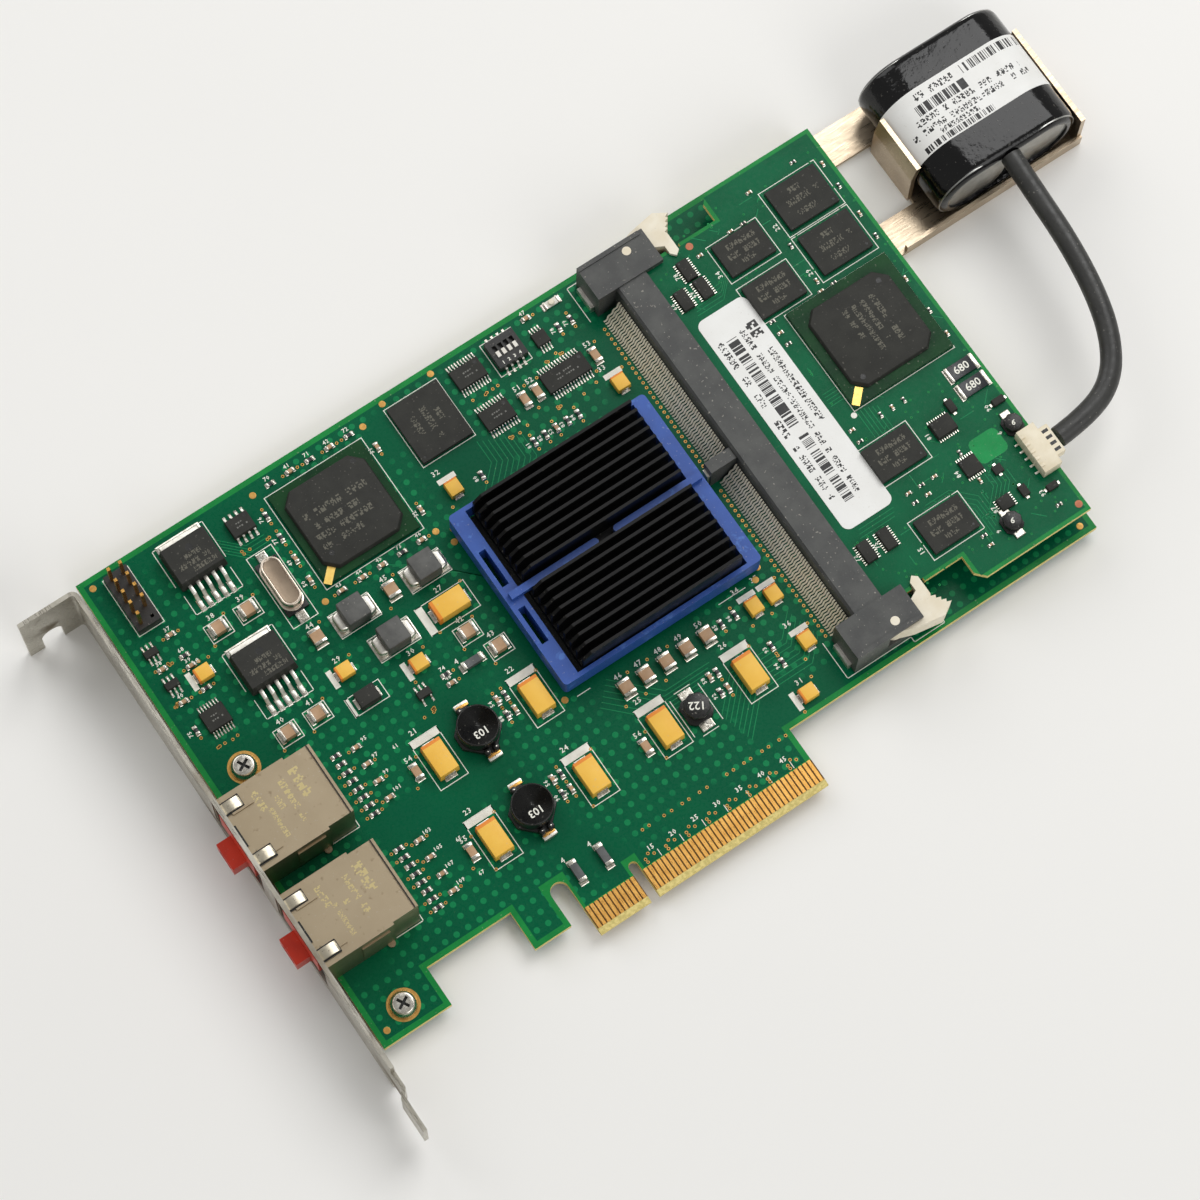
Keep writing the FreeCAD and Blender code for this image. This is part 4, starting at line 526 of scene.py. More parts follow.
def disc(x, y, low, high, radius, sides=24, top=None):
    """Add an upright round with a bottom radius and, if given, a smaller or larger top."""
    clear_selection()
    bpy.ops.mesh.primitive_cone_add(
        vertices=sides,
        radius1=radius * MM,
        radius2=(radius if top is None else top) * MM,
        depth=(high - low) * MM,
        location=mm(x, y, (low + high) / 2),
    )
    return applied()


def flat(x, y, level, long, wide, turn=0.0):
    """Add a level rectangle round a middle."""
    clear_selection()
    place = mm(x, y, level)
    bpy.ops.mesh.primitive_plane_add(size=1, location=place, rotation=(0, 0, turn))
    bpy.context.object.scale = mm(long, wide, 1)
    return applied()


def lettering(text, x, y, level, size, turn=0, fat=0.03, steps=2, gap=1.0):
    """A plain number as a flat mesh, turned by an angle in degrees."""
    clear_selection()
    bpy.ops.object.text_add(location=mm(x, y, level), rotation=(0, 0, math.radians(turn)))
    label = bpy.context.object.data
    label.body = str(text)
    label.size = size * MM
    label.align_x = label.align_y = "CENTER"
    label.resolution_u = steps
    label.space_character = gap
    label.offset = fat * MM
    bpy.ops.object.convert(target="MESH")
    return applied()


# %% Picking and shaping
def pick(piece, test, kind="FACE"):
    """In edit mode, select the faces or edges whose middle in millimetres and normal pass."""
    only(piece)
    bpy.ops.object.mode_set(mode="EDIT")
    bpy.ops.mesh.select_mode(type=kind)
    bpy.ops.mesh.select_all(action="DESELECT")
    shape = bmesh.from_edit_mesh(piece.data)
    for item in shape.faces if kind == "FACE" else shape.edges:
        if kind == "FACE":
            middle = item.calc_center_median()
            normal = item.normal
        else:
            middle = (item.verts[0].co + item.verts[1].co) / 2
            normal = (item.verts[1].co - item.verts[0].co).normalized()
        if test(middle / MM, normal):
            item.select_set(True)
    bmesh.update_edit_mesh(piece.data)


def done():
    """Leave edit mode."""
    bpy.ops.object.mode_set(mode="OBJECT")


def anything(middle, normal):
    """Pick every face."""
    return True


def faces_up(middle, normal):
    """Pick the faces that look up."""
    return normal.z > 0.9


def push(x=0.0, y=0.0, z=0.0):
    """Extrude what is selected by a move in millimetres."""
    bpy.ops.mesh.extrude_region_move(TRANSFORM_OT_translate={"value": mm(x, y, z)})


def shrink(edge, rise=0.0):
    """Inset what is selected by an edge width, and raise or sink the inner part."""
    bpy.ops.mesh.inset(thickness=edge * MM, depth=rise * MM)


def inset(piece, edge, rise=0.0, test=faces_up):
    """Inset the faces that pass a test, once."""
    pick(piece, test)
    shrink(edge, rise)
    done()


def lean_in(piece, share, share_y=None, test=faces_up):
    """Draw the top face in, or another one that passes the test."""
    pick(piece, test)
    bpy.ops.transform.resize(value=(share, share_y or share, 1))
    done()


def round_edges(piece, test, radius, segments):
    """Round the edges that pass a test."""
    pick(piece, test, "EDGE")
    bpy.ops.mesh.bevel(offset=radius * MM, segments=segments, affect="EDGES")
    done()


def upright(middle, way):
    """Pick the edges that stand up."""
    return abs(way.z) > 0.9


def soften(piece, width, segments=2, angle=30):
    """Round the edges that are sharper than an angle, and shade the rest smooth."""
    only(piece)
    bevel = piece.modifiers.new("rounded", "BEVEL")
    bevel.width = width * MM
    bevel.segments = segments
    bevel.limit_method = "ANGLE"
    bevel.angle_limit = math.radians(angle)
    bpy.ops.object.modifier_apply(modifier=bevel.name)
    bpy.ops.object.shade_smooth_by_angle(angle=math.radians(angle))


def paint(piece, slots, rule=None):
    """Give a piece its materials. A rule picks one for a face from its middle and normal."""
    piece.data.materials.clear()
    for made in slots:
        piece.data.materials.append(made)
    if rule:
        for face in piece.data.polygons:
            face.material_index = rule(face.center / MM, face.normal)
    return piece


def painted(piece, made, width=0.0, segments=2, angle=30):
    """Soften a piece if asked to, and give it one material."""
    if width:
        soften(piece, width, segments, angle)
    return paint(piece, [made])


# %% Joining, copying and naming
def merged(pieces, name):
    """Join several pieces into one."""
    clear_selection()
    for piece in pieces:
        piece.select_set(True)
    bpy.context.view_layer.objects.active = pieces[0]
    if len(pieces) > 1:
        bpy.ops.object.join()
    pieces[0].name = name
    pieces[0].data.name = name
    return pieces[0]


def twin(model, place):
    """Copy a model with a mesh of its own, moved by a matrix."""
    copy = model.copy()
    copy.data = model.data.copy()
    copy.data.transform(place)
    bpy.context.scene.collection.objects.link(copy)
    return copy


def moved(x, y, z=0.0, turn=0.0):
    """A turn about Z and then a move in millimetres."""
    return Matrix.Translation(mm(x, y, z)) @ Matrix.Rotation(turn, 4, "Z")


def spread(model, places):
    """Copy a model to each place on the board, and take the model itself away."""
    copies = [twin(model, moved(x, y)) for x, y in places]
    bpy.data.objects.remove(model)
    return copies


def settle(parts, name, slot, stands_for=None, made=None):
    """Join the parts and name the piece, and say what it rides on and which node it stands for."""
    piece = merged(parts, name)
    if made:
        paint(piece, [made])
    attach(piece, "card")
    if stands_for:
        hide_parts(stands_for)
    print(name, len(piece.data.polygons), "faces")
    return piece


def remade(parts, node, slot, made=None):
    """Let the parts stand for a CAD node."""
    return settle(parts, node + "_made", slot, node, made)


# %% Finding the solids of a node
def solids(node):
    """Lowest and highest corner, in millimetres, of every separate solid in a CAD node."""
    shape = bmesh.new()
    shape.from_mesh(nodes[node].data)
    bmesh.ops.remove_doubles(shape, verts=shape.verts, dist=1e-6)
    found = []
    seen = set()
    for start in shape.verts:
        if start in seen:
            continue
        seen.add(start)
        waiting = [start]
        corners = []
        while waiting:
            corner = waiting.pop()
            corners.append(corner.co / MM)
            for edge in corner.link_edges:
                other = edge.other_vert(corner)
                if other not in seen:
                    seen.add(other)
                    waiting.append(other)
        found.append(tuple(Vector(map(limit, zip(*corners))) for limit in (min, max)))
    shape.free()
    return found


def stands_upright(low, high):
    """Whether a part lies along Y rather than along X."""
    return high.y - low.y > high.x - low.x


def keep_local(piece):
    """Store each point's own place in millimetres, so that a pattern can follow every copy."""
    layer = piece.data.attributes.new("local", "FLOAT_VECTOR", "POINT")
    values = [value / MM for vertex in piece.data.vertices for value in vertex.co]
    layer.data.foreach_set("vector", values)


def copy_to_solids(boxes, build):
    """Model one part for each size of solid, and copy it, with its own mesh, to every place."""
    models = {}
    copies = []
    for low, high in boxes:
        size = high - low
        turn = math.pi
        if stands_upright(low, high):
            size = Vector((size.y, size.x, size.z))
            turn = math.pi / 2
        key = tuple(round(value, 1) for value in size)
        if key not in models:
            models[key] = build(*size)
            keep_local(models[key])
        middle = (low + high) / 2
        copies.append(twin(models[key], moved(middle.x, middle.y, low.z, turn)))
    for model in models.values():
        bpy.data.objects.remove(model)
    return copies


def local_place(made, axis):
    """One coordinate of the stored local place, in millimetres."""
    stored = add_node(made.node_tree, "Attribute", attribute_name="local").outputs["Vector"]
    return add_node(made.node_tree, "SeparateXYZ", {0: stored}).outputs[axis]


# %% [markdown]
# ## Chip parts
# A chip capacitor or resistor is a fired brick dipped in solder at both ends, so its ends are
# a little fatter than its middle, and it stands on two wet pads. A cube is cut near both ends,
# the faces between the cuts are sunk, and the pads are two thin plates with sloped rims.

# %% Chip part finishes
ceramic = finish(
    "chip_ceramic", (188, 152, 116), (168, 132, 98), (0.4, 0.55), patch=(600, 0.6), grain=3400
)
dark_glaze = finish(
    "resistor_glaze", (34, 36, 40), (52, 54, 58), (0.3, 0.45), patch=(600, 0.6), grain=3400
)
ferrite_bead = finish(
    "bead_ferrite", (92, 94, 94), (70, 72, 72), (0.42, 0.6), patch=(600, 0.6), grain=3400
)
PAD_THICK = 0.06
PAD_FOOT = 0.012


def wet_pad(x0, x1, y0, y1, high=0.1, rim=0.16, rise=0.05):
    """A solder pad with a sloped rim."""
    pad = block((x0, y0, PAD_FOOT), (x1, y1, high))
    inset(pad, rim, rise)
    return paint(pad, [solder])


def end_capped(made, long, wide, tall, cap, fatter, pad_out):
    """A brick with two dipped ends on two solder pads, along X with its foot on Z = 0."""
    half = long / 2
    brick = slab(0, 0, half, wide / 2, PAD_THICK, tall)
    pick(brick, anything)
    for side in (-1, 1):
        bpy.ops.mesh.select_all(action="SELECT")
        bpy.ops.mesh.bisect(plane_co=mm(side * (half - cap), 0, 0), plane_no=(1, 0, 0))
    done()
    inset(brick, 0.02, -fatter, lambda m, n: abs(m.x) < half - cap and abs(n.x) < 0.5)
    soften(brick, 0.05 if long < 2.5 else 0.1, 2, 40)
    parts = [paint(brick, [made, solder], lambda m, n: abs(m.x) > half - cap - 0.03)]
    for side in (-1, 1):
        ends = side * (half - cap * 0.8), side * (half + pad_out)
        reach = wide / 2 + 0.08
        parts.append(wet_pad(*ends, -reach, reach, PAD_THICK + 0.03, 0.12, 0.08))
    return merged(parts, "chip_part")


def chip_maker(made):
    """A builder of chip parts with one body finish."""
    def build(long, wide, tall):
        if made == ferrite_bead:
            return end_capped(made, long, wide, tall, 0.7, 0.04, 0.5)
        if long > 2.5:
            return end_capped(made, long, wide, tall, 0.62, 0.05, 0.35)
        return end_capped(made, long, wide, tall, long * 0.24, 0.02, 0.28 if long > 1.3 else 0.18)
    return build


# %% Chip parts in place
CHIP_GROUPS = (
    ("ceramic_capacitors_large", ceramic, "ceramic_tan"),
    ("small_capacitors", ceramic, "ceramic_tan"),
    ("small_resistors", dark_glaze, "chip_black"),
    ("ferrites", ferrite_bead, "ferrite"),
)
for node, made, slot in CHIP_GROUPS:
    remade(copy_to_solids(solids(node), chip_maker(made)), node, slot)
large = [box for box in solids("module_small_parts") if (box[1] - box[0]).length > 4]
small = [box for box in solids("module_small_parts") if (box[1] - box[0]).length <= 4]
parts = copy_to_solids(large, chip_maker(dark_glaze))
parts += copy_to_solids(small[::2], chip_maker(ceramic))
parts += copy_to_solids(small[1::2], chip_maker(dark_glaze))
settle(parts, "module_chip_parts", "ceramic_tan", "module_small_parts")

# %% [markdown]
# ## Tantalum capacitors
# These are moulded yellow blocks with a flat tin strap folded under each end. One end has an
# orange band for polarity. The sides lean in a little so that the block leaves its mould: the
# top face of a cube is scaled down for that lean, and the band is a mask on the local place.

# %% Tantalum capacitors
def tantalum(name, band_from, depth):
    """Yellow resin with its orange band from a local X onwards."""
    made = finish(
        name, (248, 196, 78), (242, 184, 62), (0.42, 0.58), patch=(260, 0.6), grain=2600,
        relief=(0.2, depth),
    )
    overlay(made, above(made, local_place(made, "X"), band_from), tone(236, 140, 40))
    return made


def moulded(made):
    """A builder of moulded parts along X, with a strap at each end and a band towards +X."""
    def build(long, wide, tall):
        half = long / 2
        body = slab(0, 0, half - 0.12, wide / 2, 0.1, tall)
        lean_in(body, 0.975, 0.95)
        parts = [painted(body, made, 0.1)]
        strap = wide * 0.27
        for side in (-1, 1):
            ends = side * (half - 1.1), side * (half + (0.55 if long > 5 else 0.4))
            parts.append(wet_pad(*ends, -strap - 0.15, strap + 0.15, 0.1, 0.14, 0.06))
            wall = side * half
            end = block((wall - side * 0.14, -strap, 0.08), (wall, strap, tall * 0.55))
            parts.append(painted(end, solder, 0.05))
        return merged(parts, "moulded_block")
    return build


for size, made in (
    ("large", tantalum("tantalum_resin", 2.75, 0.03)),
    ("small", tantalum("tantalum_resin_small", 1.2, 0.02)),
):
    node = "tantalum_capacitors_" + size
    remade(copy_to_solids(solids(node), moulded(made)), node, "tantalum_yellow")
remade(copy_to_solids(solids("diode"), moulded(chip_resin)), "diode", "chip_black")

# %% [markdown]
# ## Moulded chips
# A chip body is pressed resin: its sides slope away from the parting line, its edges are soft and
# a small round dimple marks the first lead. A cube is drawn in towards its top, and the dimple
# is a ring of faces pushed down into a plug of its own, whose floor is painted dark as shade.

# %% Small chips
mark_print = finish(
    "chip_marking", (118, 118, 112), (96, 96, 92), (0.5, 0.6), grain=3000, relief=(0.1, 0.01)
)
# Painted shade: a dark finish laid where shade falls, in dimples, recesses, slots and windows and
# under chips.
painted_shade = finish("painted_shade_finish", (22, 22, 21), (34, 34, 32), (0.3, 0.45), grain=3000)
DASH_PITCH = 0.5


def recess(x, y, top, radius, sides=20, ring=0.2, foot=0.06):
    """A round dimple whose floor is painted dark as shade, set in a flat top."""
    spot = disc(x, y, top - foot, top + 0.014, radius, sides)
    inset(spot, radius * ring, -0.008)
    return paint(spot, [painted_shade])


def chip_body(long, wide, tall):
    """A moulded chip body with a dimple near its first lead and two or three rows of dashes."""
    body = slab(0, 0, long / 2, wide / 2, 0.0, tall * 0.5)
    pick(body, faces_up)
    push(z=tall * 0.5)
    lean = min(0.1, tall * 0.12)
    bpy.ops.transform.resize(value=(1 - 2 * lean / long, 1 - 2 * lean / wide, 1))
    done()
    parts = [painted(body, chip_resin, min(0.08, tall * 0.1), 2, 20)]
    if long > 4.2:
        radius = min(0.45, wide * 0.09)
        at = radius * 2.4
        parts.append(recess(-long / 2 + at, -wide / 2 + at, tall, radius, 14, 0.25, 0.05))
        rows = 2 if wide < 6 else 3
        for row in range(rows):
            reach = long * (0.56 if row else 0.42)
            y = (row - (rows - 1) / 2) * wide * 0.2
            for step in range(int(reach / DASH_PITCH)):
                if (step * 7 + row * 3) % 5 == 0:
                    continue
                x = -reach / 2 + step * DASH_PITCH
                far = (x + 0.32, y + 0.16 - 0.1 * (step % 2), tall + 0.004)
                parts.append(paint(block((x, y - 0.16, tall - 0.02), far), [mark_print]))
    return merged(parts, "chip_body")


remade(copy_to_solids(solids("small_chips"), chip_body), "small_chips", "chip_black")

# %% [markdown]
# ## Copper under the lacquer
# The board looks dark where copper lies under the lacquer and bright where it stops, about a
# millimetre from every edge. The copper is a sheet of its own, so it is laid on as thin plates
# that follow the board's outline, and its lighter round dots come from a grid in the material.

# %% Copper finishes
LIFT = 0.012
lacquer_over_copper = finish(
    "lacquer_over_copper", (1, 88, 58), (1, 94, 60), (0.22, 0.36), patch=(70, 0.8),
    grain=1400, relief=(0.15, 0.02), specular=0.1, dust=0.03,
)
module_lacquer = finish(
    "module_lacquer", (2, 98, 62), (1, 86, 54), (0.22, 0.38), patch=(110, 0.8), grain=1400,
    relief=(0.15, 0.02), specular=0.1, dust=0.03,
)
DOT_PITCH = 2.54
DOT_FIRST = (-54.65, 106.35)
DOT_RADIUS = 0.6
tree = lacquer_over_copper.node_tree
squares = []
for axis, start in zip("XY", DOT_FIRST):
    place = place_of(lacquer_over_copper, axis)
    offset = sum_of(tree, "SUBTRACT", place, start - DOT_PITCH / 2)
    local = sum_of(tree, "FLOORED_MODULO", offset, DOT_PITCH)
    centred = sum_of(tree, "SUBTRACT", local, DOT_PITCH / 2)
    squares.append(sum_of(tree, "POWER", centred, 2))
distance = sum_of(tree, "SQRT", sum_of(tree, "ADD", *squares))
dots = below(lacquer_over_copper, distance, DOT_RADIUS, 0.04)
dots = sum_of(tree, "MULTIPLY", dots, blotches(lacquer_over_copper, 42, 0.44, 0.5, detail=1))
overlay(lacquer_over_copper, dots, tone(20, 128, 78))
relief = tree.nodes["relief"].inputs["Height"]
tree.links.new(sum_of(tree, "MULTIPLY_ADD", dots, 1.5, relief.links[0].from_socket), relief)

# %% Copper sheets
board_low, board_high = span("main_board")
module_low, module_high = span("module_board")
MODULE_PLATE = module_high.z
POUR_EDGE = 1.1
KEY_TOP = 8.3 + POUR_EDGE
SHOULDER = 12.85 + POUR_EDGE
FINGER_TOP = 5.9 + 0.15
EDGE_LEFT = -12.1 + 0.6
EDGE_RIGHT = 39.1 - POUR_EDGE
KEY_SIDE = 0.97 + 0.6
POUR = (
    (board_low.x + POUR_EDGE, -42.3 - POUR_EDGE, 4.5 + POUR_EDGE, SHOULDER),
    (board_low.x + POUR_EDGE, board_high.x - POUR_EDGE, SHOULDER, board_high.y - POUR_EDGE),
    (-23.8 + POUR_EDGE, -15.8 - POUR_EDGE, 5.6, SHOULDER),
    (EDGE_LEFT, EDGE_RIGHT, KEY_TOP, SHOULDER),
    (EDGE_LEFT, -KEY_SIDE, FINGER_TOP, KEY_TOP),
    (KEY_SIDE, EDGE_RIGHT, FINGER_TOP, KEY_TOP),
)
MODULE_EDGE = 0.8
WING = 83.9 + MODULE_EDGE
MODULE_POUR = (
    (66.6, WING, 20.95 + 0.7, 102.95 - 0.7),
    (WING, module_high.x - MODULE_EDGE, module_low.y + MODULE_EDGE, module_high.y - MODULE_EDGE),
)


def plates(rectangles, level, made, name):
    """Thin plates that share their edges. Those of an underside are turned to face down."""
    parts = []
    for x0, x1, y0, y1 in rectangles:
        parts.append(flat((x0 + x1) / 2, (y0 + y1) / 2, level, x1 - x0, y1 - y0))
    copper = merged(parts, name)
    if "underside" in name:
        pick(copper, anything)
        bpy.ops.mesh.flip_normals()
        done()
    settle([copper], name, "green_board", made=made)


plates(POUR, LIFT, lacquer_over_copper, "copper_pour_top")
plates(POUR, board_low.z - LIFT, lacquer_over_copper, "copper_pour_underside")
plates(MODULE_POUR, MODULE_PLATE + LIFT, module_lacquer, "module_pour_top")
plates(MODULE_POUR, module_low.z - LIFT, module_lacquer, "module_pour_underside")

# %% [markdown]
# ## White print
# The print on a board is a thin coat of white ink: frames round the larger parts, a bar at
# the banded end of each tantalum, and short plain numbers. A frame is a plane whose face is
# inset by the stroke and then removed, which is how a ring is made by hand.

# %% Ink
ink = finish(
    "white_ink", (246, 245, 234), (230, 230, 216), (0.5, 0.62), patch=(900, 0.6), grain=3000
)
STROKE = 0.17
INK = LIFT + 0.014
MODULE_INK = MODULE_PLATE + INK
ink_pieces = []


def ink_plane(x0, x1, y0, y1, level=INK):
    """A printed rectangle."""
    middle = (x0 + x1) / 2, (y0 + y1) / 2
    ink_pieces.append(flat(*middle, level, abs(x1 - x0), abs(y1 - y0)))
    return ink_pieces[-1]


def ink_frame(x0, x1, y0, y1, level=INK):
    """A printed frame, drawn along its outer edge."""
    pick(ink_plane(x0, x1, y0, y1, level), anything)
    shrink(STROKE)
    bpy.ops.mesh.delete(type="FACE")
    done()


def ink_around(low, high, gap_x, gap_y, level=INK):
    """A printed frame at a distance from a box."""
    ink_frame(low.x - gap_x, high.x + gap_x, low.y - gap_y, high.y + gap_y, level)


def ink_line(*corners, stroke=STROKE):
    """Printed strokes along X or Y through a row of corners."""
    half = stroke / 2
    for (x0, y0), (x1, y1) in zip(corners, corners[1:]):
        ink_plane(min(x0, x1) - half, max(x0, x1) + half, min(y0, y1) - half, max(y0, y1) + half)


def ink_number(text, x, y, size=1.5, level=INK, turned=False):
    """A plain number in print."""
    ink_pieces.append(lettering(text, x, y, level, size, 90 * turned, 0.025, 1, 1.15))


# %% Print round the capacitors
number = 1
for low, high in solids("tantalum_capacitors_large") + solids("tantalum_capacitors_small"):
    large = (high - low).length > 7
    side, bar, far = (1.0, 1.45, 1.4) if large else (0.5, 1.1, 0.9)
    if stands_upright(low, high):
        x0, x1, y0, y1 = low.x - side, high.x + side, low.y - far, high.y + far
        if large:
            ink_frame(x0, x1, y0, y1 + bar - 0.4)
        ink_plane(x0, x1, y1 - 0.55, y1 - 0.55 + bar)
        ink_number(number + 20, (x0 + x1) / 2 - 1.2, y1 + bar + 0.9)
    else:
        x0, x1, y0, y1 = low.x - far, high.x + far, low.y - side, high.y + side
        if large:
            ink_frame(x0 - bar + 0.4, x1, y0, y1)
        ink_plane(x0 + 0.55 - bar, x0 + 0.55, y0, y1)
        ink_number(number + 20, (x0 + x1) / 2, y1 + 0.95)
    number += 1
for low, high in solids("ceramic_capacitors_large"):
    number += 1
    across = not stands_upright(low, high)
    if across:
        ink_around(low, high, 0.75, 0.75)
    ink_number(number + 20, (low.x + high.x) / 2, high.y + (1.75 if across else 1.3))

# %% Print round the other parts
for low, high in solids("ferrites"):
    ink_number(number % 7 + 3, low.x - 0.2, high.y + 1.1)
for low, high in solids("square_inductors"):
    ink_around(low, high, 0.3, 0.2)
for low, high in solids("diode"):
    ink_frame(low.x - 1.6, high.x + 1.4, low.y - 0.4, high.y + 0.4)
    ink_plane(low.x - 1.7, low.x - 0.9, low.y - 0.4, high.y + 0.4)
CHIP_FRAMES = (
    (-18.1, 4.1, 84.0, 106.1),
    (10.5, 22.64, 94.2, 108.3),
    (-52.4, -46.7, 95.9, 109.2),
    (-27.5, -21.8, 81.0, 97.7),
    (33.1, 40.4, 101.2, 109.0),
)
for corners in CHIP_FRAMES:
    ink_frame(*corners)
for centre, tab in ((-35.9, 108.4), (-35.9, 83.8)):
    for half, start, end in ((5.6, tab - 8, tab + 0.4), (5.2, tab - 10.4, tab - 14.8)):
        left, right = centre - half, centre + half
        ink_line((left, start), (left, end), (right, end), (right, start))
for node in ("jack_shield_upper", "jack_shield_lower"):
    low, high = span(node)
    x = high.x + 0.5
    ink_line((x, low.y + 1.2), (x, high.y - 1.2))
    ink_line((high.x - 12, low.y + 1.2), (x, low.y + 1.2))
low, high = span("drum_inductor")
for x in (low.x - 0.4, high.x + 0.4):
    ink_line((x, low.y - 1.3), (x, high.y + 1.3))
for y in (high.y + 2.1, low.y - 2.1):
    ink_line((low.x + 1.1, y), (high.x - 1.1, y))
SOCKET_STROKES = (
    ((53.8, 101.2), (53.8, 109.4), (68.5, 109.4)),
    ((53.9, 23.0), (53.9, 14.8), (68.5, 14.8), (68.5, 13.6), (75.5, 13.6), (75.5, 14.8)),
    ((9.7, 40.3), (12.5, 40.3)),
    ((42.0, 40.3), (48.0, 40.3)),
)
for corners in SOCKET_STROKES:
    ink_line(*corners)
for step in range(7):
    x = 4.65 + 5 * step
    ink_number(15 + 5 * step, x, 8.6, 1.35)
    ink_line((x + 0.9, 6.2), (x + 0.9, 7.6), stroke=0.14)

# %% Numbers beside the chip parts
for low, high in solids("small_capacitors") + solids("small_resistors"):
    number += 1
    x, y = ((low + high) / 2).xy
    if -38 < low.x < -27 and low.y < 60:
        if number % 2:
            ink_number(number, high.x + 5.4, y, 1.1)
    elif stands_upright(low, high):
        ink_number(number, low.x - 0.9, y, 1.15, turned=True)
    else:
        ink_number(number, x, high.y + 0.95, 1.15)

# %% Print on the cache module
MODULE_PRINT = (("module_memory_chips", 0.75, 1.6, 2.2), ("module_flash_chips", 0.9, 1.8, 2.4))
for node, gap, left, foot in MODULE_PRINT:
    for low, high in solids(node):
        ink_around(low, high, gap, gap, MODULE_INK)
        ink_number(number % 40 + 4, low.x - left, low.y + foot, 1.4, MODULE_INK, True)
        number += 7
ink_around(*span("module_controller"), 0.3, 0.3, MODULE_INK)
for low, high in solids("module_small_chips"):
    if high.x - low.x > 2.5:
        y = (low.y + high.y) / 2
        ink_number(number % 90 + 4, low.x - 0.9, y, 1.3, MODULE_INK, True)
        number += 3
settle(ink_pieces, "white_print", "white_plastic", made=ink)

# %% [markdown]
# ## Vias and bare pads
# A via is a plated hole with a thin gilt ring, and the floor of its hole is painted dark as shade.
# One ring is made from a short tube and copied to every place: along the card edge, at the ends of
# the chip parts, and in rows beside the socket.

# %% One via
gilt = finish(
    "gilt_ring", (206, 160, 84), (176, 126, 60), (0.3, 0.45), patch=(900, 0.6), metallic=0.6
)
# Painted shade: a dark finish on the floor of each via hole.
hole_shade = finish("painted_hole_shade", (24, 22, 14), (40, 34, 20), (0.5, 0.7), specular=0.1)
VIA_RADIUS = 0.33
VIA_HOLE = 0.17
ring = disc(0, 0, LIFT, LIFT + 0.02, VIA_RADIUS, 12)
pick(ring, lambda middle, normal: normal.z < -0.9)
bpy.ops.mesh.delete(type="FACE")
done()
pick(ring, faces_up)
shrink(VIA_RADIUS - VIA_HOLE)
push(z=-0.015)
done()
paint(ring, [gilt, hole_shade], lambda m, n: m.xy.length < VIA_HOLE * 0.6 and n.z > 0.5)

# %% Vias in place
random.seed(7)
VIA_SHARE = 0.55
VIA_GAP = 0.85
LARGE_VIA_SHARE = 0.8
via_places = []
for low, high in solids("small_capacitors") + solids("small_resistors"):
    x, y = ((low + high) / 2).xy
    for side in (-1, 1):
        if random.random() < VIA_SHARE:
            if stands_upright(low, high):
                via_places.append((x, y + side * (high - low).y * 0.5 + side * VIA_GAP))
            else:
                via_places.append((x + side * (high - low).x * 0.5 + side * VIA_GAP, y))
for node in ("ceramic_capacitors_large", "tantalum_capacitors_large", "tantalum_capacitors_small"):
    for low, high in solids(node):
        for place in ((low.x - 0.7, low.y - 1.1), (high.x + 0.75, high.y + 1.0)):
            if random.random() < LARGE_VIA_SHARE:
                via_places.append(place)
EDGE_ROW = (
    5.3, 6.8, 10.2, 11.9, 14.3, 15.8, 18.2, 19.9, 24.4, 25.9, 28.3, 29.8, 32.4, 33.9, 36.3, 37.8,
)
via_places += [(x, 12.2) for x in EDGE_ROW]
for step in range(8):
    x = 2.6 + 4.6 * step
    via_places += [(x, 7.2), (x + 1.0, 7.9), (x + 2.0, 7.3), (x + 0.1, 6.5)]
SOCKET_ROW_X = 55.2
SOCKET_ROW_PITCH = 1.2
SOCKET_KEY_Y = 61.95
low, high = span("socket_contacts")
for step in range(int((high.y - low.y) / SOCKET_ROW_PITCH)):
    y = low.y + 0.6 + SOCKET_ROW_PITCH * step
    if abs(y - SOCKET_KEY_Y) > 2.2:
        via_places.append((SOCKET_ROW_X, y))
for low, high in solids("small_chips"):
    for step in range(5):
        x = random.uniform(low.x - 1, high.x + 1)
        via_places.append((x, low.y - 2.4 - random.random() * 0.8))
settle(spread(ring, via_places), "vias", "gold")

# %% [markdown]
# ## Printed marks
# Chips, labels and cans carry rows of small type and bar codes. Nothing readable belongs on this
# card, so one shared group draws marks that only look like type: a grid of cells, some inked and
# some not, with gaps between letters and words. Wide cells without gaps give a bar code.

# %% Type group
MARK_INPUTS = dict.fromkeys(("Along", "Across", "Height", "Bars", "Seed"), "Float")
type_marks, given, result = new_group("type_marks", MARK_INPUTS, {"Mask": "Float"})
LETTER_CELLS = 5.0
BAR_WIDE = 0.15


def whole(value, size):
    """The number of whole steps of a size in a value."""
    return sum_of(type_marks, "FLOOR", sum_of(type_marks, "DIVIDE", value, size))


def chance(x, y, share):
    """1 on a random share of whole-number cells."""
    spot = add_node(type_marks, "CombineXYZ", {0: x, 1: y}).outputs[0]
    drawn = add_node(type_marks, "TexWhiteNoise", {"Vector": spot}, noise_dimensions="2D")
    return sum_of(type_marks, "LESS_THAN", drawn.outputs["Value"], share)


cell = sum_of(type_marks, "DIVIDE", given["Height"], LETTER_CELLS)
column = whole(given["Along"], sum_of(type_marks, "MULTIPLY", cell, 0.8))
row = sum_of(type_marks, "MULTIPLY_ADD", given["Seed"], 17.0, whole(given["Across"], cell))
in_letter = sum_of(type_marks, "FLOORED_MODULO", column, LETTER_CELLS)
in_letter = sum_of(type_marks, "LESS_THAN", in_letter, 3.5)
text = sum_of(type_marks, "MULTIPLY", chance(column, row, 0.54), in_letter)
words = chance(whole(column, LETTER_CELLS), given["Seed"], 0.86)
text = sum_of(type_marks, "MULTIPLY", text, words)
bars = chance(whole(given["Along"], BAR_WIDE), given["Seed"], 0.55)
both = add_node(type_marks, "Mix", {0: given["Bars"], 2: text, 3: bars})
type_marks.links.new(both.outputs[0], result["Mask"])


# %% Rows of type
TYPE_GREY = tone(104, 102, 92)


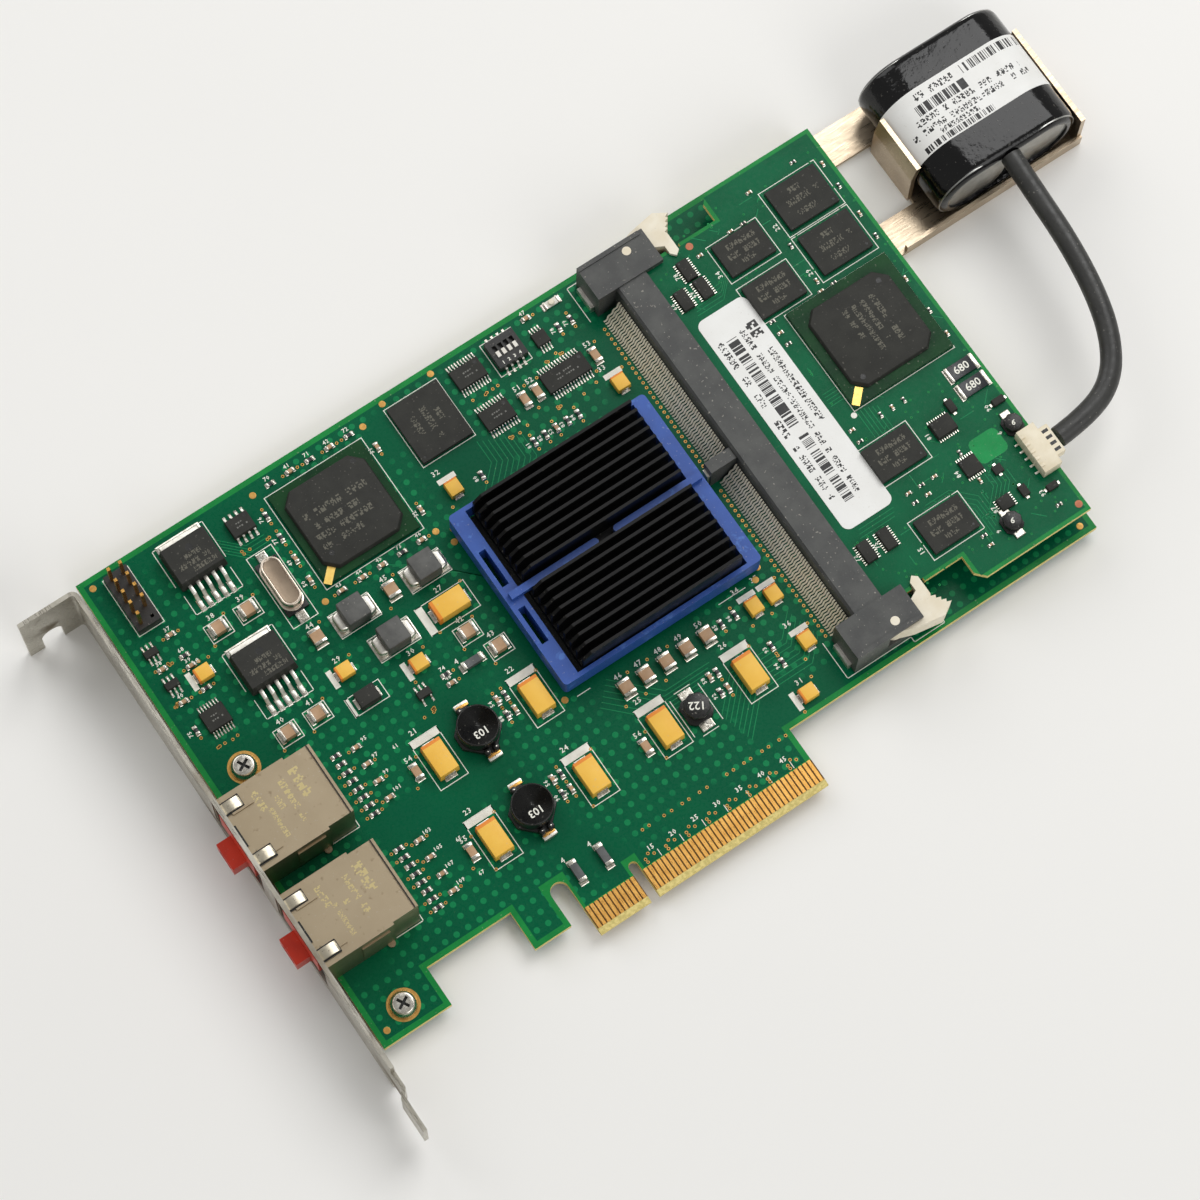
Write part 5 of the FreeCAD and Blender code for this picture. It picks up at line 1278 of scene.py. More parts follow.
def print_rows(made, rows, colour, along="X", across="Y", local=False):
    """Lay rows of type over a material: start, end and foot of each row, its height, and
    whether it is a bar code. A minus before an axis turns it round."""
    tree = made.node_tree
    axes = []
    for axis in (along, across):
        value = (local_place if local else place_of)(made, axis[-1])
        axes.append(sum_of(tree, "MULTIPLY", value, -1) if axis[0] == "-" else value)
    total = 0.0
    for start, end, foot, height, is_bars in rows:
        run = sum_of(tree, "SUBTRACT", axes[0], start)
        rise = sum_of(tree, "SUBTRACT", axes[1], foot)
        seed = round(start * 3 + foot * 7) % 97
        values = {"Along": run, "Across": rise, "Height": height, "Bars": is_bars, "Seed": seed}
        marks = add_node(tree, "Group", values, node_tree=type_marks)
        half = (end - start) / 2
        inside = sum_of(tree, "COMPARE", run, half, half)
        band = sum_of(tree, "COMPARE", rise, height / 2, height / 2)
        inside = sum_of(tree, "MULTIPLY", inside, band)
        shown = sum_of(tree, "MULTIPLY", inside, marks.outputs["Mask"])
        total = sum_of(tree, "MAXIMUM", total, shown)
    overlay(made, total, colour)


# %% [markdown]
# ## Ball-grid chips
# The two large chips are a resin cap moulded on a small dark green board that stands on solder
# balls; the board's dark tone is partly its own colour and partly painted shade.
# The cap has cut corners and leaning sides, and a gilt bar runs from one cut corner to the corner
# of its board. The cap is a cube with its corners cut off by planes and its top drawn in.

# %% Cap, board and balls
# The carrier's dark green is partly its own colour and partly painted shade.
carrier_green_and_shade = finish(
    "carrier_lacquer_and_shade", (12, 52, 28), (22, 72, 34), (0.34, 0.48), patch=(120, 0.8), specular=0.15
)
gilt_bar = finish(
    "gilt_bar", (250, 214, 120), (240, 196, 96), (0.3, 0.42), patch=(700, 0.5), metallic=0.7
)
CAP_CUT = 2.4
CAP_LEAN = 0.35
CAP_DIMPLE = 0.55
BALL_PITCH = 1.27
BALL_RADIUS = 0.3


def cut_off(piece, place, outward):
    """Cut away what lies beyond a plane, and close the cut."""
    pick(piece, anything)
    bpy.ops.mesh.bisect(plane_co=place, plane_no=outward, use_fill=True, clear_outer=True)
    done()


def cut_block(x, y, half_x, half_y, cut_x, cut_y, low, high):
    """A block with its four upright corners cut off."""
    made = slab(x, y, half_x, half_y, low, high)
    for side_x in (-1, 1):
        for side_y in (-1, 1):
            place = mm(x + side_x * half_x, y + side_y * (half_y - cut_y), 0)
            cut_off(made, place, (side_x * cut_y, side_y * cut_x, 0))
    return made


def ball_grid(node, half, base, board_top, cap_half, cap_top, marks, dimples, along):
    """A cap on a small board on solder balls, with its gilt bar at the -X -Y corner."""
    low, high = solids(node)[0]
    x, y = ((low + high) / 2).xy
    carrier = slab(x, y, half, half, base + 0.4, board_top)
    parts = [painted(carrier, carrier_green_and_shade, 0.04, 1)]
    cap = cut_block(x, y, cap_half, cap_half, CAP_CUT, CAP_CUT, board_top - 0.02, cap_top)
    lean_in(cap, 1 - CAP_LEAN / cap_half)
    cap_resin = resin(node + "_made_resin")
    ahead, aside = {"X": (x, y), "-Y": (-y, x)}[along[0]]
    rows = [(a + ahead, b + ahead, c + aside, d, e) for a, b, c, d, e in marks]
    print_rows(cap_resin, rows, TYPE_GREY, *along)
    parts.append(painted(cap, cap_resin, 0.16, 3, 20))
    bar = slab(x, y, 0.8, 1.9, board_top - 0.02, board_top + 0.03)
    soften(bar, 0.02, 1)
    reach = (cap_half - 1.2 + half - 0.3) / 2
    bar.data.transform(moved(x - reach, y - reach, 0, -math.pi / 4) @ moved(-x, -y))
    parts.append(paint(bar, [gilt_bar]))
    parts += [recess(*place, cap_top, CAP_DIMPLE) for place in dimples]
    clear_selection()
    bpy.ops.mesh.primitive_uv_sphere_add(
        segments=10, ring_count=6, radius=BALL_RADIUS * MM, location=mm(0, 0, base + 0.22)
    )
    ball = applied()
    cut_off(ball, mm(0, 0, base + 0.02), (0, 0, -1))
    cut_off(ball, mm(0, 0, base + 0.41), (0, 0, 1))
    bpy.ops.object.shade_smooth_by_angle(angle=0.6)
    paint(ball, [solder])
    count = int((half * 2 - 1.6) / BALL_PITCH)
    edge = count / 2 * BALL_PITCH
    places = []
    for step in range(count + 1):
        offset = (step - count / 2) * BALL_PITCH
        places += [(offset, edge), (offset, -edge), (edge, offset), (-edge, offset)]
    parts += spread(ball, [(x + out_x, y + out_y) for out_x, out_y in places])
    remade(parts, node, "chip_black")


# %% Both ball-grid chips
ball_grid(
    "network_chip", half=10.5, base=0, board_top=1.0, cap_half=9.13, cap_top=2.2,
    marks=[(-7.2, 6.6, 1.8, 1.5, 0), (-7.2, 3.4, -0.6, 1.3, 0), (-7.2, 5.2, -2.8, 1.3, 0),
           (-7.2, 1.6, -5.0, 1.3, 0)],
    dimples=((-13.4, 89.1), (-0.1, 102.3)), along=("X", "Y"),
)
ball_grid(
    "module_controller", half=11.5, base=7.2, board_top=8.25, cap_half=9.5,
    cap_top=solids("module_controller")[0][1].z,
    marks=[(-5.5, 5.2, 3.4, 1.2, 0), (-5.5, 3.6, 1.2, 1.1, 0), (-5.5, 5.0, -0.8, 1.1, 0),
           (-5.5, 1.0, -2.8, 1.1, 0)],
    dimples=((88.6, 60.2), (102.4, 74.6)), along=("-Y", "X"),
)

# %% [markdown]
# ## Memory and flash chips
# These are thin square-edged blocks sawn from a moulded strip, on a row of hidden balls, and the
# gap under each is a dark block of painted shade. Their type runs in three rows. The copies keep
# their own place in an attribute, so one material prints every one of them alike.

# %% Thin chips
def thin_chip(made):
    """A builder of thin chips with one resin."""
    def build(long, wide, tall):
        x, y = long / 2, wide / 2
        cap = painted(slab(0, 0, x, y, 0.22, tall), made, 0.04, 1)
        # The dark block under the chip is painted shade in the gap over its hidden balls.
        under = slab(0, 0, x - 0.4, y - 0.4, PAD_FOOT, 0.24)
        spot = recess(-x + 0.9, y - 0.9, tall, 0.28, 12)
        return merged([cap, painted(under, painted_shade, 0.05, 1), spot], "thin_chip")
    return build


def printed_resin(name, rows):
    """A resin with its own rows of type."""
    made = resin(name)
    print_rows(made, rows, TYPE_GREY, local=True)
    return made


memory_resin = printed_resin(
    "memory_resin",
    [(-3.6, 2.8, -2.4, 1.2, 0), (-3.6, 3.6, -0.4, 1.2, 0), (-2.2, 1.6, 1.5, 1.1, 0)],
)
flash_resin = printed_resin(
    "flash_resin",
    [(-3.8, 1.6, -3.0, 1.2, 0), (-3.8, 3.4, -0.8, 1.3, 0), (-1.6, 2.6, 1.9, 1.2, 0)],
)
THIN_CHIPS = (
    ("module_memory_chips", memory_resin),
    ("module_flash_chips", flash_resin),
    ("flash_chip", flash_resin),
)
for node, made in THIN_CHIPS:
    remade(copy_to_solids(solids(node), thin_chip(made)), node, "chip_black")

# %% [markdown]
# ## Bent leads
# A gull-wing lead leaves the side of its chip, drops, and lies flat on a solder pad. It is a
# short foot whose end face is extruded up the slope and then into the body. Each lead is turned
# away from the chip that it belongs to.

# %% Leads of the chips
def bent_lead(start, end, wide, thick, jogs, width, segments, angle):
    """A foot along +X whose inner end is extruded in two jogs towards the body."""
    foot = block((start, -wide / 2, thick[0]), (end, wide / 2, thick[1]))
    pick(foot, lambda middle, normal: normal.x < -0.9)
    for run, rise in jogs:
        push(x=-run, z=rise)
    done()
    return painted(foot, tin, width, segments, angle)


def gull_wing(reach, wide, tall):
    """A fine lead along +X with its foot outwards, and the pad it stands on."""
    jogs = ((reach * 0.24, tall - 0.17), (reach * 0.32, 0.04))
    foot = bent_lead(reach * 0.56, reach, wide, (0.03, 0.17), jogs, 0.03, 1, 40)
    half = wide / 2 + 0.06
    pad = wet_pad(reach * 0.45, reach + 0.34, -half, half, 0.05, 0.04, 0.03)
    return merged([foot, pad], "gull_wing")


def turned_copies(places, build):
    """Copies of one model per size, each turned about Z and moved: size, turn, x, y."""
    models = {}
    copies = []
    for size, turn, x, y in places:
        key = tuple(round(value, 2) for value in size)
        if key not in models:
            models[key] = build(*key)
        copies.append(twin(models[key], moved(x, y, 0, turn)))
    for model in models.values():
        bpy.data.objects.remove(model)
    return copies


def owner_of(place):
    """The box of the chip that is nearest to a place."""
    def gap(box):
        return ((box[0] + box[1]) / 2 - place).xy.length - (box[1] - box[0]).xy.length / 2
    return min(solids("small_chips") + solids("dip_switch_body"), key=gap)


places = []
for low, high in solids("chip_leads"):
    middle = (low + high) / 2
    size = high - low
    near, far = owner_of(middle)
    away = middle - (near + far) / 2
    if max(near.y - middle.y, middle.y - far.y) > max(near.x - middle.x, middle.x - far.x):
        start = low.y if away.y > 0 else high.y
        turn = math.copysign(math.pi / 2, away.y)
        places.append(((size.y, size.x, size.z), turn, middle.x, start))
    else:
        start = low.x if away.x > 0 else high.x
        places.append((tuple(size), 0 if away.x > 0 else math.pi, start, middle.y))
remade(turned_copies(places, gull_wing), "chip_leads", "tin")

# %% Regulators
def power_lead(reach, wide, tall):
    """A thick lead along +X on its pad."""
    jogs = ((reach * 0.26, tall - 0.62), (reach * 0.44, 0.08))
    foot = bent_lead(reach * 0.68, reach, wide, (0.05, 0.5), jogs, 0.1, 2, 25)
    half = wide / 2 + 0.14
    pad = wet_pad(reach * 0.55, reach + 0.75, -half, half, 0.07, 0.16, 0.08)
    return merged([foot, pad], "power_lead")


def power_tab(long, wide, tall):
    """The wide tab of a regulator on its pad."""
    tab = painted(block((0, -wide / 2, 0.08), (long, wide / 2, tall)), tin, 0.2)
    half = wide / 2 + 0.6
    return merged([tab, wet_pad(0.4, long + 0.75, -half, half, 0.09, 0.3, 0.1)], "power_tab")


def power_body(long, wide, tall):
    """A thick resin block: its lower half leans out and its upper half leans in."""
    body = slab(0, 0, long / 2 - 0.25, wide / 2 - 0.25, 0.1, 1.4)
    pick(body, faces_up)
    bpy.ops.transform.resize(value=(long / (long - 0.5), wide / (wide - 0.5), 1))
    push(z=tall - 1.3)
    bpy.ops.transform.resize(value=(1 - 0.7 / long, 1 - 0.7 / wide, 1))
    done()
    painted(body, power_resin, 0.12, 2, 12)
    return merged([body, recess(0.4, wide * 0.2, tall + 0.1, 0.75)], "power_body")


parts = []
for low, high in solids("regulator_leads"):
    size = high - low
    build, turn, start = (power_tab, 1, low.y) if size.x > 3 else (power_lead, -1, high.y)
    place = (size.y, size.x, size.z), turn * math.pi / 2, (low.x + high.x) / 2, start
    parts += turned_copies([place], build)
remade(parts, "regulator_leads", "tin")
power_resin = printed_resin(
    "regulator_resin",
    [(-1.4, 2.0, -0.2, 1.0, 0), (-3.4, 3.2, -1.7, 1.1, 0), (-3.6, 3.8, -3.1, 1.0, 0)],
)
parts = []
for low, high in solids("regulator_bodies"):
    body = power_body(*(high - low))
    keep_local(body)
    body.data.transform(moved((low.x + high.x) / 2, (low.y + high.y) / 2))
    parts.append(body)
remade(parts, "regulator_bodies", "chip_black")

# %% [markdown]
# ## Inductors
# A power inductor is a ferrite drum wound on a core and glued to a long black base with a tinned
# contact at each end. The square ones are pressed blocks whose strap bulges out at both sides. The
# wound one on its small carrier shows its copper below a flat head.

# %% Inductor finishes
inductor_black = finish(
    "inductor_black", (24, 24, 23), (36, 36, 34), (0.24, 0.4), patch=(400, 0.5), grain=3000,
    specular=0.4,
)
pressed_core = finish(
    "pressed_core", (92, 92, 89), (70, 70, 68), (0.45, 0.6), patch=(500, 0.7), grain=3400,
    relief=(0.4, 0.04),
)
copper_wire = finish(
    "copper_wire", (176, 84, 44), (140, 60, 30), (0.25, 0.4), patch=(900, 0.6),
    stretch=(1, 1, 9), grain=1600, metallic=0.8,
)


def stamped(text, x, y, level, size, turn=0):
    """A plain number printed on a part."""
    return paint(lettering(text, x, y, level, size, turn), [ink])


# %% Power inductors
BASE_HALF = (4.45, 6.05)
BASE_CUT = (2.95, 4.55)
DRUM_RADIUS = 4.1
parts = []
for low, high in solids("power_inductors"):
    x, y = ((low + high) / 2).xy
    base = cut_block(x, y, *BASE_HALF, *BASE_CUT, 0.1, 1.5)
    drum = disc(x, y, 1.4, high.z, DRUM_RADIUS, 44)
    parts.append(painted(base, inductor_black, 0.12))
    soften(drum, 0.35, 3)
    inset(drum, 0.2, -0.05)
    parts.append(paint(drum, [inductor_black]))
    parts.append(stamped("103", x - 0.2, y - 1.5, high.z - 0.035, 2.1, 180))
    for side in (-1, 1):
        for made, width, half_x, at, half_y, foot, top in (
            (tin, 0.2, 1.5, 5.9, 0.5, 0.02, 1.3),
            (gold, 0.06, 1.3, 5.5, 0.3, 1.2, 1.56),
        ):
            plate = slab(x, y + side * at, half_x, half_y, foot, top)
            parts.append(painted(plate, made, width))
    for across, along in ((-0.95, -4.75), (0.95, -4.75), (-1.0, 4.7)):
        stud = disc(x + across, y + along, 1.4, 2.7, 0.8, 16, 0.6)
        parts.append(painted(stud, inductor_black, 0.12))
        parts.append(painted(disc(x + across, y + along, 2.6, 2.76, 0.18, 10), solder, 0.04))
remade(parts, "power_inductors", "ferrite")

# %% Square inductors
parts = []
for low, high in solids("square_inductors"):
    x, y = ((low + high) / 2).xy
    half = (high.y - low.y) / 2
    core = slab(x, y, half, half, 0.6, high.z)
    parts.append(painted(core, pressed_core, 0.28, 3))
    for side in (-1, 1):
        inner = x + side * (half - 0.3)
        outer = x + side * (high.x - x - 0.05)
        strap = block((inner, y - half + 0.3, 0.05), (outer, y + half - 0.3, 2.3))
        lean_in(strap, 1, 0.8, lambda middle, normal: side * normal.x > 0.9)
        parts.append(painted(strap, tin, 0.62, 4))
        edge = x + side * (high.x - x + 0.35)
        parts.append(wet_pad(inner, edge, y - half + 0.1, y + half - 0.1))
remade(parts, "square_inductors", "ferrite")


# %% Wound inductor
def wound(x, y, radius, foot, top, text):
    """A flat eight-sided head on a wound waist, over two soldered corners."""
    base_top = foot + (top - foot) * 0.25
    base = cut_block(x, y, radius, radius, radius * 0.35, radius * 0.35, foot + 0.04, base_top)
    waist = disc(x, y, foot + (top - foot) * 0.2, top - 0.7, radius * 0.72, 24)
    head = disc(x, y, top - 0.8, top, radius * 0.97, 8)
    parts = [
        painted(base, inductor_black, 0.08),
        painted(waist, copper_wire, 0.1),
        painted(head, inductor_black, 0.14, 3),
        stamped(text, x, y, top + 0.012, radius * 0.8, 150),
    ]
    half = radius * 0.5
    for side in (-1, 1):
        middle = y + side * radius * 1.2
        pad = wet_pad(x - half, x + half, middle - radius * 0.4, middle + radius * 0.4, 0.4)
        pad.data.transform(moved(0, 0, foot))
        parts.append(pad)
    return merged(parts, "wound")


low, high = solids("drum_inductor")[0]
x, y = (low.x + high.x) / 2, (low.y + high.y) / 2
remade([wound(x, y, 2.75, 0, high.z, "122")], "drum_inductor", "ferrite")

# %% [markdown]
# ## Crystal, screws and status light
# The crystal is a drawn oval can with a sunk lid on a dark carrier. The screws are pan heads with
# a cross recess, cut by two crossing bars, and the floor of the recess is painted dark as shade.
# The light is a pale block with tinned ends and a lens.

# %% Crystal
crystal_metal = finish(
    "crystal_metal", (226, 212, 196), (196, 178, 160), (0.2, 0.34), patch=(300, 0.5),
    grain=1600, metallic=1.0, dust=0.1,
)
lid_metal = finish(
    "crystal_lid", (150, 134, 116), (128, 112, 96), (0.36, 0.5), patch=(300, 0.5),
    grain=3000, metallic=0.9, dust=0.1,
)
low, high = solids("crystal")[0]
x, y = ((low + high) / 2).xy
carrier = slab(x, y, 2.35, 6.0, 0.05, 0.9)
rim = slab(x, y, 2.4, 5.7, 0.85, 1.3)
round_edges(rim, upright, 2.3, 8)
can = slab(x, y, 2.1, 5.4, 1.2, high.z)
round_edges(can, upright, 2.05, 8)
pick(can, faces_up)
shrink(0.5)
push(z=-0.3)
done()
soften(can, 0.2, 3, 40)
paint(can, [crystal_metal, lid_metal], lambda m, n: n.z > 0.9 and m.z < high.z - 0.2)
parts = [painted(carrier, inductor_black, 0.1), painted(rim, crystal_metal, 0.12), can]
for side in (-1, 1):
    parts.append(wet_pad(x - 1.0, x + 1.0, y + side * 6.9 - 1.2, y + side * 6.9 + 1.0, 0.5))
remade(parts, "crystal", "tin")


# %% Screws
def pan_head(x, y, radius, high, low):
    """A pan head with a cross recess, on its shank."""
    head = disc(x, y, 0.02, high, radius, 40, radius * 0.74)
    soften(head, 0.3, 4)
    for turn in (0.5, 0.5 + math.pi / 2):
        bar = slab(0, 0, radius * 0.48, radius * 0.1, high - 0.75, high + 1)
        bar.data.transform(moved(x, y, 0, turn))
        only(head)
        slot = head.modifiers.new("recess", "BOOLEAN")
        slot.object = bar
        slot.operation = "DIFFERENCE"
        bpy.ops.object.modifier_apply(modifier=slot.name)
        bpy.data.objects.remove(bar)
    # The floor of the cross recess is painted dark, as painted shade.
    paint(head, [screw_metal, painted_shade], lambda m, n: n.z > 0.9 and m.z < high - 0.6)
    return [head, painted(disc(x, y, low, 0.05, radius * 0.52, 24), screw_metal, 0.15)]


parts = []
pads = []
for low, high in solids("board_screws"):
    x, y = ((low + high) / 2).xy
    parts += pan_head(x, y, (high.x - low.x) / 2, high.z, low.z)
    if x < 0:
        ring = disc(x, y, LIFT, LIFT + 0.03, 3.2, 48)
        pick(ring, faces_up)
        shrink(0.8)
        bpy.ops.mesh.delete(type="FACE")
        done()
        pads.append(paint(ring, [gilt]))
remade(parts, "board_screws", "bracket_steel")

# %% Bare pads
bare_copper = finish(
    "bare_copper", (182, 112, 82), (150, 84, 58), (0.4, 0.52), patch=(500, 0.6), grain=1800,
    metallic=0.4,
)
BOARD_SPOTS = (
    (-54.6, 108.9), (-54.8, 7.1), (-19.5, 107.75), (-19.5, 82.3), (5.5, 107.7), (5.5, 82.3),
    (11.1, 109.5), (22.2, 109.5), (8.6, 80.9), (8.9, 42.7), (52.2, 42.35), (108, 14.8), (7.3, 41),
    (7.3, 78.6), (50.5, 40.5),
)
MODULE_SPOTS = ((76.7, 101.2), (108.3, 17.1))
for spots, level, radius, made in (
    (BOARD_SPOTS, LIFT, 0.68, gilt),
    (MODULE_SPOTS, MODULE_PLATE + LIFT, 0.75, bare_copper),
):
    for x, y in spots:
        spot = disc(x, y, level, level + 0.03, radius, 24)
        inset(spot, 0.08, 0.01)
        pads.append(paint(spot, [made]))
settle(pads, "bare_pads", "gold")

# %% Status light and switch print
low, high = solids("status_led")[0]
x, y = ((low + high) / 2).xy
body = block((low.x + 0.1, low.y + 0.1, 0.1), (high.x - 0.1, high.y - 0.1, 0.6))
lens = disc(x, y, 0.55, high.z, 0.72, 20, 0.55)
parts = [painted(body, white_plastic, 0.05), painted(lens, cream_plastic, 0.12, 3)]
for side in (-1, 1):
    end = x + side * 1.4
    tinned = block((end - 0.22, low.y, 0.05), (end + 0.22, high.y, 0.66))
    parts.append(painted(tinned, solder, 0.05))
    end = x + side * 1.75
    parts.append(wet_pad(end - 0.4, end + 0.3, low.y, high.y))
remade(parts, "status_led", "white_plastic")
low, high = span("dip_switch_body")
SWITCH_PITCH = 1.27
digits = []
for place in range(4):
    x = low.x + 1.25 + SWITCH_PITCH * place
    digits.append(stamped(place + 1, x, low.y + 0.75, high.z + 0.012, 0.95))
settle(digits, "switch_numbers", "white_plastic")

# %% [markdown]
# ## Socket contacts
# Each contact is a thin stamped strip that leaves the board behind the socket and climbs into it.
# The strips are jogged sideways so two rows can pass each other. One pair is shaped by pushing a
# small face up in jogs, then copied to each place along the socket.

# %% Socket contacts
contact_gilt = finish(
    "contact_strip", (250, 244, 222), (230, 218, 186), (0.34, 0.48), patch=(900, 0.5),
    grain=1600, metallic=0.1, dust=0.1,
)
CONTACT_PITCH = 0.6
JOG = 0.2
JOGS = 6
pairs = solids("socket_contacts")
low, high = pairs[0]
climb = (high.z - 0.3) / JOGS
run = (high.x - low.x - 0.5) / JOGS
strips = []
for side in (-1, 1):
    middle = (low.y + high.y) / 2 + side * CONTACT_PITCH / 2
    strip = block((low.x + 0.05, middle - 0.16, 0.02), (low.x + 0.3, middle + 0.16, 0.06))
    pick(strip, faces_up)
    for step in range(JOGS):
        way = JOG if step % 2 else -JOG
        push(x=run * 0.55, y=way * 0.9, z=climb * 0.55)
        push(x=run * 0.45, y=way * 0.1, z=climb * 0.45)
    done()
    strips.append(paint(strip, [contact_gilt]))
pair = merged(strips, "contact_pair")
remade(spread(pair, [(0, start.y - low.y) for start, end in pairs]), "socket_contacts", "gold")
print("contact pairs", len(pairs))

# %% [markdown]
# ## Jack cans
# Near the front of each can two spring fingers are cut free and bowed, to press on the bracket.
# The slot on each side of a finger and at its end is a dark strip of painted shade. The rear of
# the can shows the dark insert below its edge, drawn with the same dark strip, so there it is
# partly the insert's own colour and partly painted shade. The pale type is only rows of made-up
# strokes.

# %% Spring fingers of the jacks
FINGER_LONG = 4.0
FINGER_HALF = 2.1 / 2
FINGER_BOW = (0.16, 0.12, 0.05, -0.02, -0.08, -0.12, -0.16)
JACK_ROWS = (
    (-5.4, 0.6, -44.6, 2.0),
    (-4.6, 4.2, -47.2, 1.3),
    (-2.6, 0.2, -49.4, 1.2),
    (-1.2, 5.6, -51.4, 1.0),
    (-5.6, -1.2, -52.6, 1.4),
)
finger_metal = finish(
    "finger_tin", (206, 198, 178), (180, 168, 146), (0.26, 0.38), patch=(300, 0.5),
    grain=1600, metallic=1.0,
)


def dark_slot(x0, x1, y0, y1):
    """Painted shade in an opening in the top of a can, drawn as a dark sunk block."""
    return paint(block((x0, y0, high.z - 0.2), (x1, y1, high.z + 0.012)), [painted_shade])


parts = []
for node in ("jack_shield_lower", "jack_shield_upper"):
    low, high = span(node)
    middle = (low.y + high.y) / 2
    x = low.x + 0.5
    end = x + FINGER_LONG
    for side in (-1, 1):
        y = middle + side * 5.6
        left, right = y - FINGER_HALF, y + FINGER_HALF
        strip = block((x, left, high.z - 0.05), (x + 0.01, right, high.z + 0.1))
        pick(strip, lambda middle, normal: normal.x > 0.9)
        for rise in FINGER_BOW:
            push(x=FINGER_LONG / len(FINGER_BOW), z=rise)
        done()
        soften(strip, 0.04, 1, 50)
        bpy.ops.object.shade_smooth_by_angle(angle=0.7)
        parts.append(paint(strip, [finger_metal]))
        # Dark strips of painted shade in the slots beside and beyond the finger.
        for gap in (left - 0.18, right + 0.18):
            parts.append(dark_slot(x, end, gap - 0.13, gap + 0.13))
        parts.append(dark_slot(end - 0.1, end + 0.12, left - 0.3, right + 0.3))
    # Dark strips at the front slot and over the rear insert: painted shade, at the rear partly the
    # insert's own colour.
    parts.append(dark_slot(low.x + 0.7, low.x + 1.1, middle - 2.6, middle + 2.0))
    parts.append(dark_slot(high.x - 0.75, high.x - 0.55, low.y + 1.4, high.y - 1.4))
    rows = [(start - middle, end - middle, foot, size, 0) for start, end, foot, size in JACK_ROWS]
    print_rows(can_metal, rows, tone(206, 190, 140), "-Y", "X")
settle(parts, "jack_fingers", "tin")

# %% [markdown]
# ## Capacitor pack
# The two cells sit in a shrunk sleeve: a tube with a flat-sided oval section, drawn in over both
# ends. The paper label wraps over its top. Both are made from a block whose long edges are rounded
# until they meet.

# %% Sleeve of the pack
def along_y(middle, way):
    """Pick the edges that lie along Y."""
    return abs(way.y) > 0.9


RIM = 1.8
RIM_STEPS = 5
ROUND_STEPS = 14
WRAP_SMOOTH = 0.8
low, high = span("pack_sleeve")
sleeve = block((low.x, low.y + RIM, low.z), (high.x, high.y - RIM, high.z))
round_edges(sleeve, along_y, (high.z - low.z) / 2, ROUND_STEPS)
pick(sleeve, anything)
bpy.ops.mesh.remove_doubles(threshold=0.01 * MM)
done()
for side in (-1, 1):
    pick(sleeve, lambda middle, normal: side * normal.y > 0.98)
    for step in range(RIM_STEPS):
        start = math.pi / 2 * step / RIM_STEPS
        end = math.pi / 2 * (step + 1) / RIM_STEPS
        shrink(RIM * (math.cos(start) - math.cos(end)), RIM * (math.sin(end) - math.sin(start)))
    shrink(0.4, -0.1)
    shrink(0.1, -0.9)
    done()
bpy.ops.object.shade_smooth_by_angle(angle=WRAP_SMOOTH)
remade([sleeve], "pack_sleeve", "black_sleeve", sleeve_film)


# %% Labels of the pack and the module
def printed_paper(name, rows, *along):
    """Label stock with its own rows of black type."""
    made = finish(
        name, (240, 240, 237), (230, 229, 224), (0.42, 0.52), patch=(160, 0.5), grain=1800
    )
    print_rows(made, rows, tone(38, 38, 38), *along)
    return made


pack_paper = printed_paper("pack_paper", [
    (128.5, 137.5, 99.6, 1.5, 0),
    (139.5, 153.5, 99.4, 2.0, 1),
    (127.5, 139.0, 96.6, 2.2, 1),
    (126.0, 150.0, 94.9, 1.3, 0),
    (124.2, 151.0, 92.9, 1.3, 0),
    (129.0, 138.0, 91.4, 1.1, 0),
    (124.4, 140.5, 89.8, 1.3, 1),
])
low, high = span("pack_label")
wrap = block((low.x - 0.06, low.y, low.z), (high.x + 0.06, high.y, high.z))
curl = high.z - low.z - 0.02
round_edges(wrap, lambda m, way: along_y(m, way) and m.z > high.z - 0.5, curl, ROUND_STEPS)
bpy.ops.object.shade_smooth_by_angle(angle=WRAP_SMOOTH)
remade([wrap], "pack_label", "paper", pack_paper)
module_paper = printed_paper("module_paper", [
    (-82.0, -77.5, 76.2, 2.4, 0),
    (-76.5, -58.0, 77.0, 1.3, 0),
    (-81.5, -42.5, 74.6, 1.2, 0),
    (-81.0, -60.0, 71.4, 2.3, 1),
    (-81.5, -66.0, 69.5, 1.3, 0),
    (-57.5, -42.0, 71.8, 2.1, 1),
    (-62.5, -43.0, 69.6, 1.3, 0),
], "-Y", "X")
label = block(*span("module_label"))
round_edges(label, upright, 1.6, 8)
remade([label], "module_label", "paper", module_paper)

# %% [markdown]
# ## Small parts of the module
# The small chips of the module stand on fine leads that show as two bright rows. Two of the parts
# are wound inductors on round heads. The two large resistors carry a plain value.

# %% Small chips of the module
LEAD_PITCH = 0.5
LEAD_HALF = 0.12
parts = []
lead_spots = []


def lead_pair(x, y, out, along, half_out, half_along, lies_along_y):
    """Note where the leads on both sides of a chip go."""
    for side in (-1, 1):
        if lies_along_y:
            at_x, at_y, half_x, half_y = x + side * out, y + along, half_out, half_along
        else:
            at_x, at_y, half_x, half_y = x + along, y + side * out, half_along, half_out
        lead_spots.append((at_x - half_x, at_x + half_x, at_y - half_y, at_y + half_y))


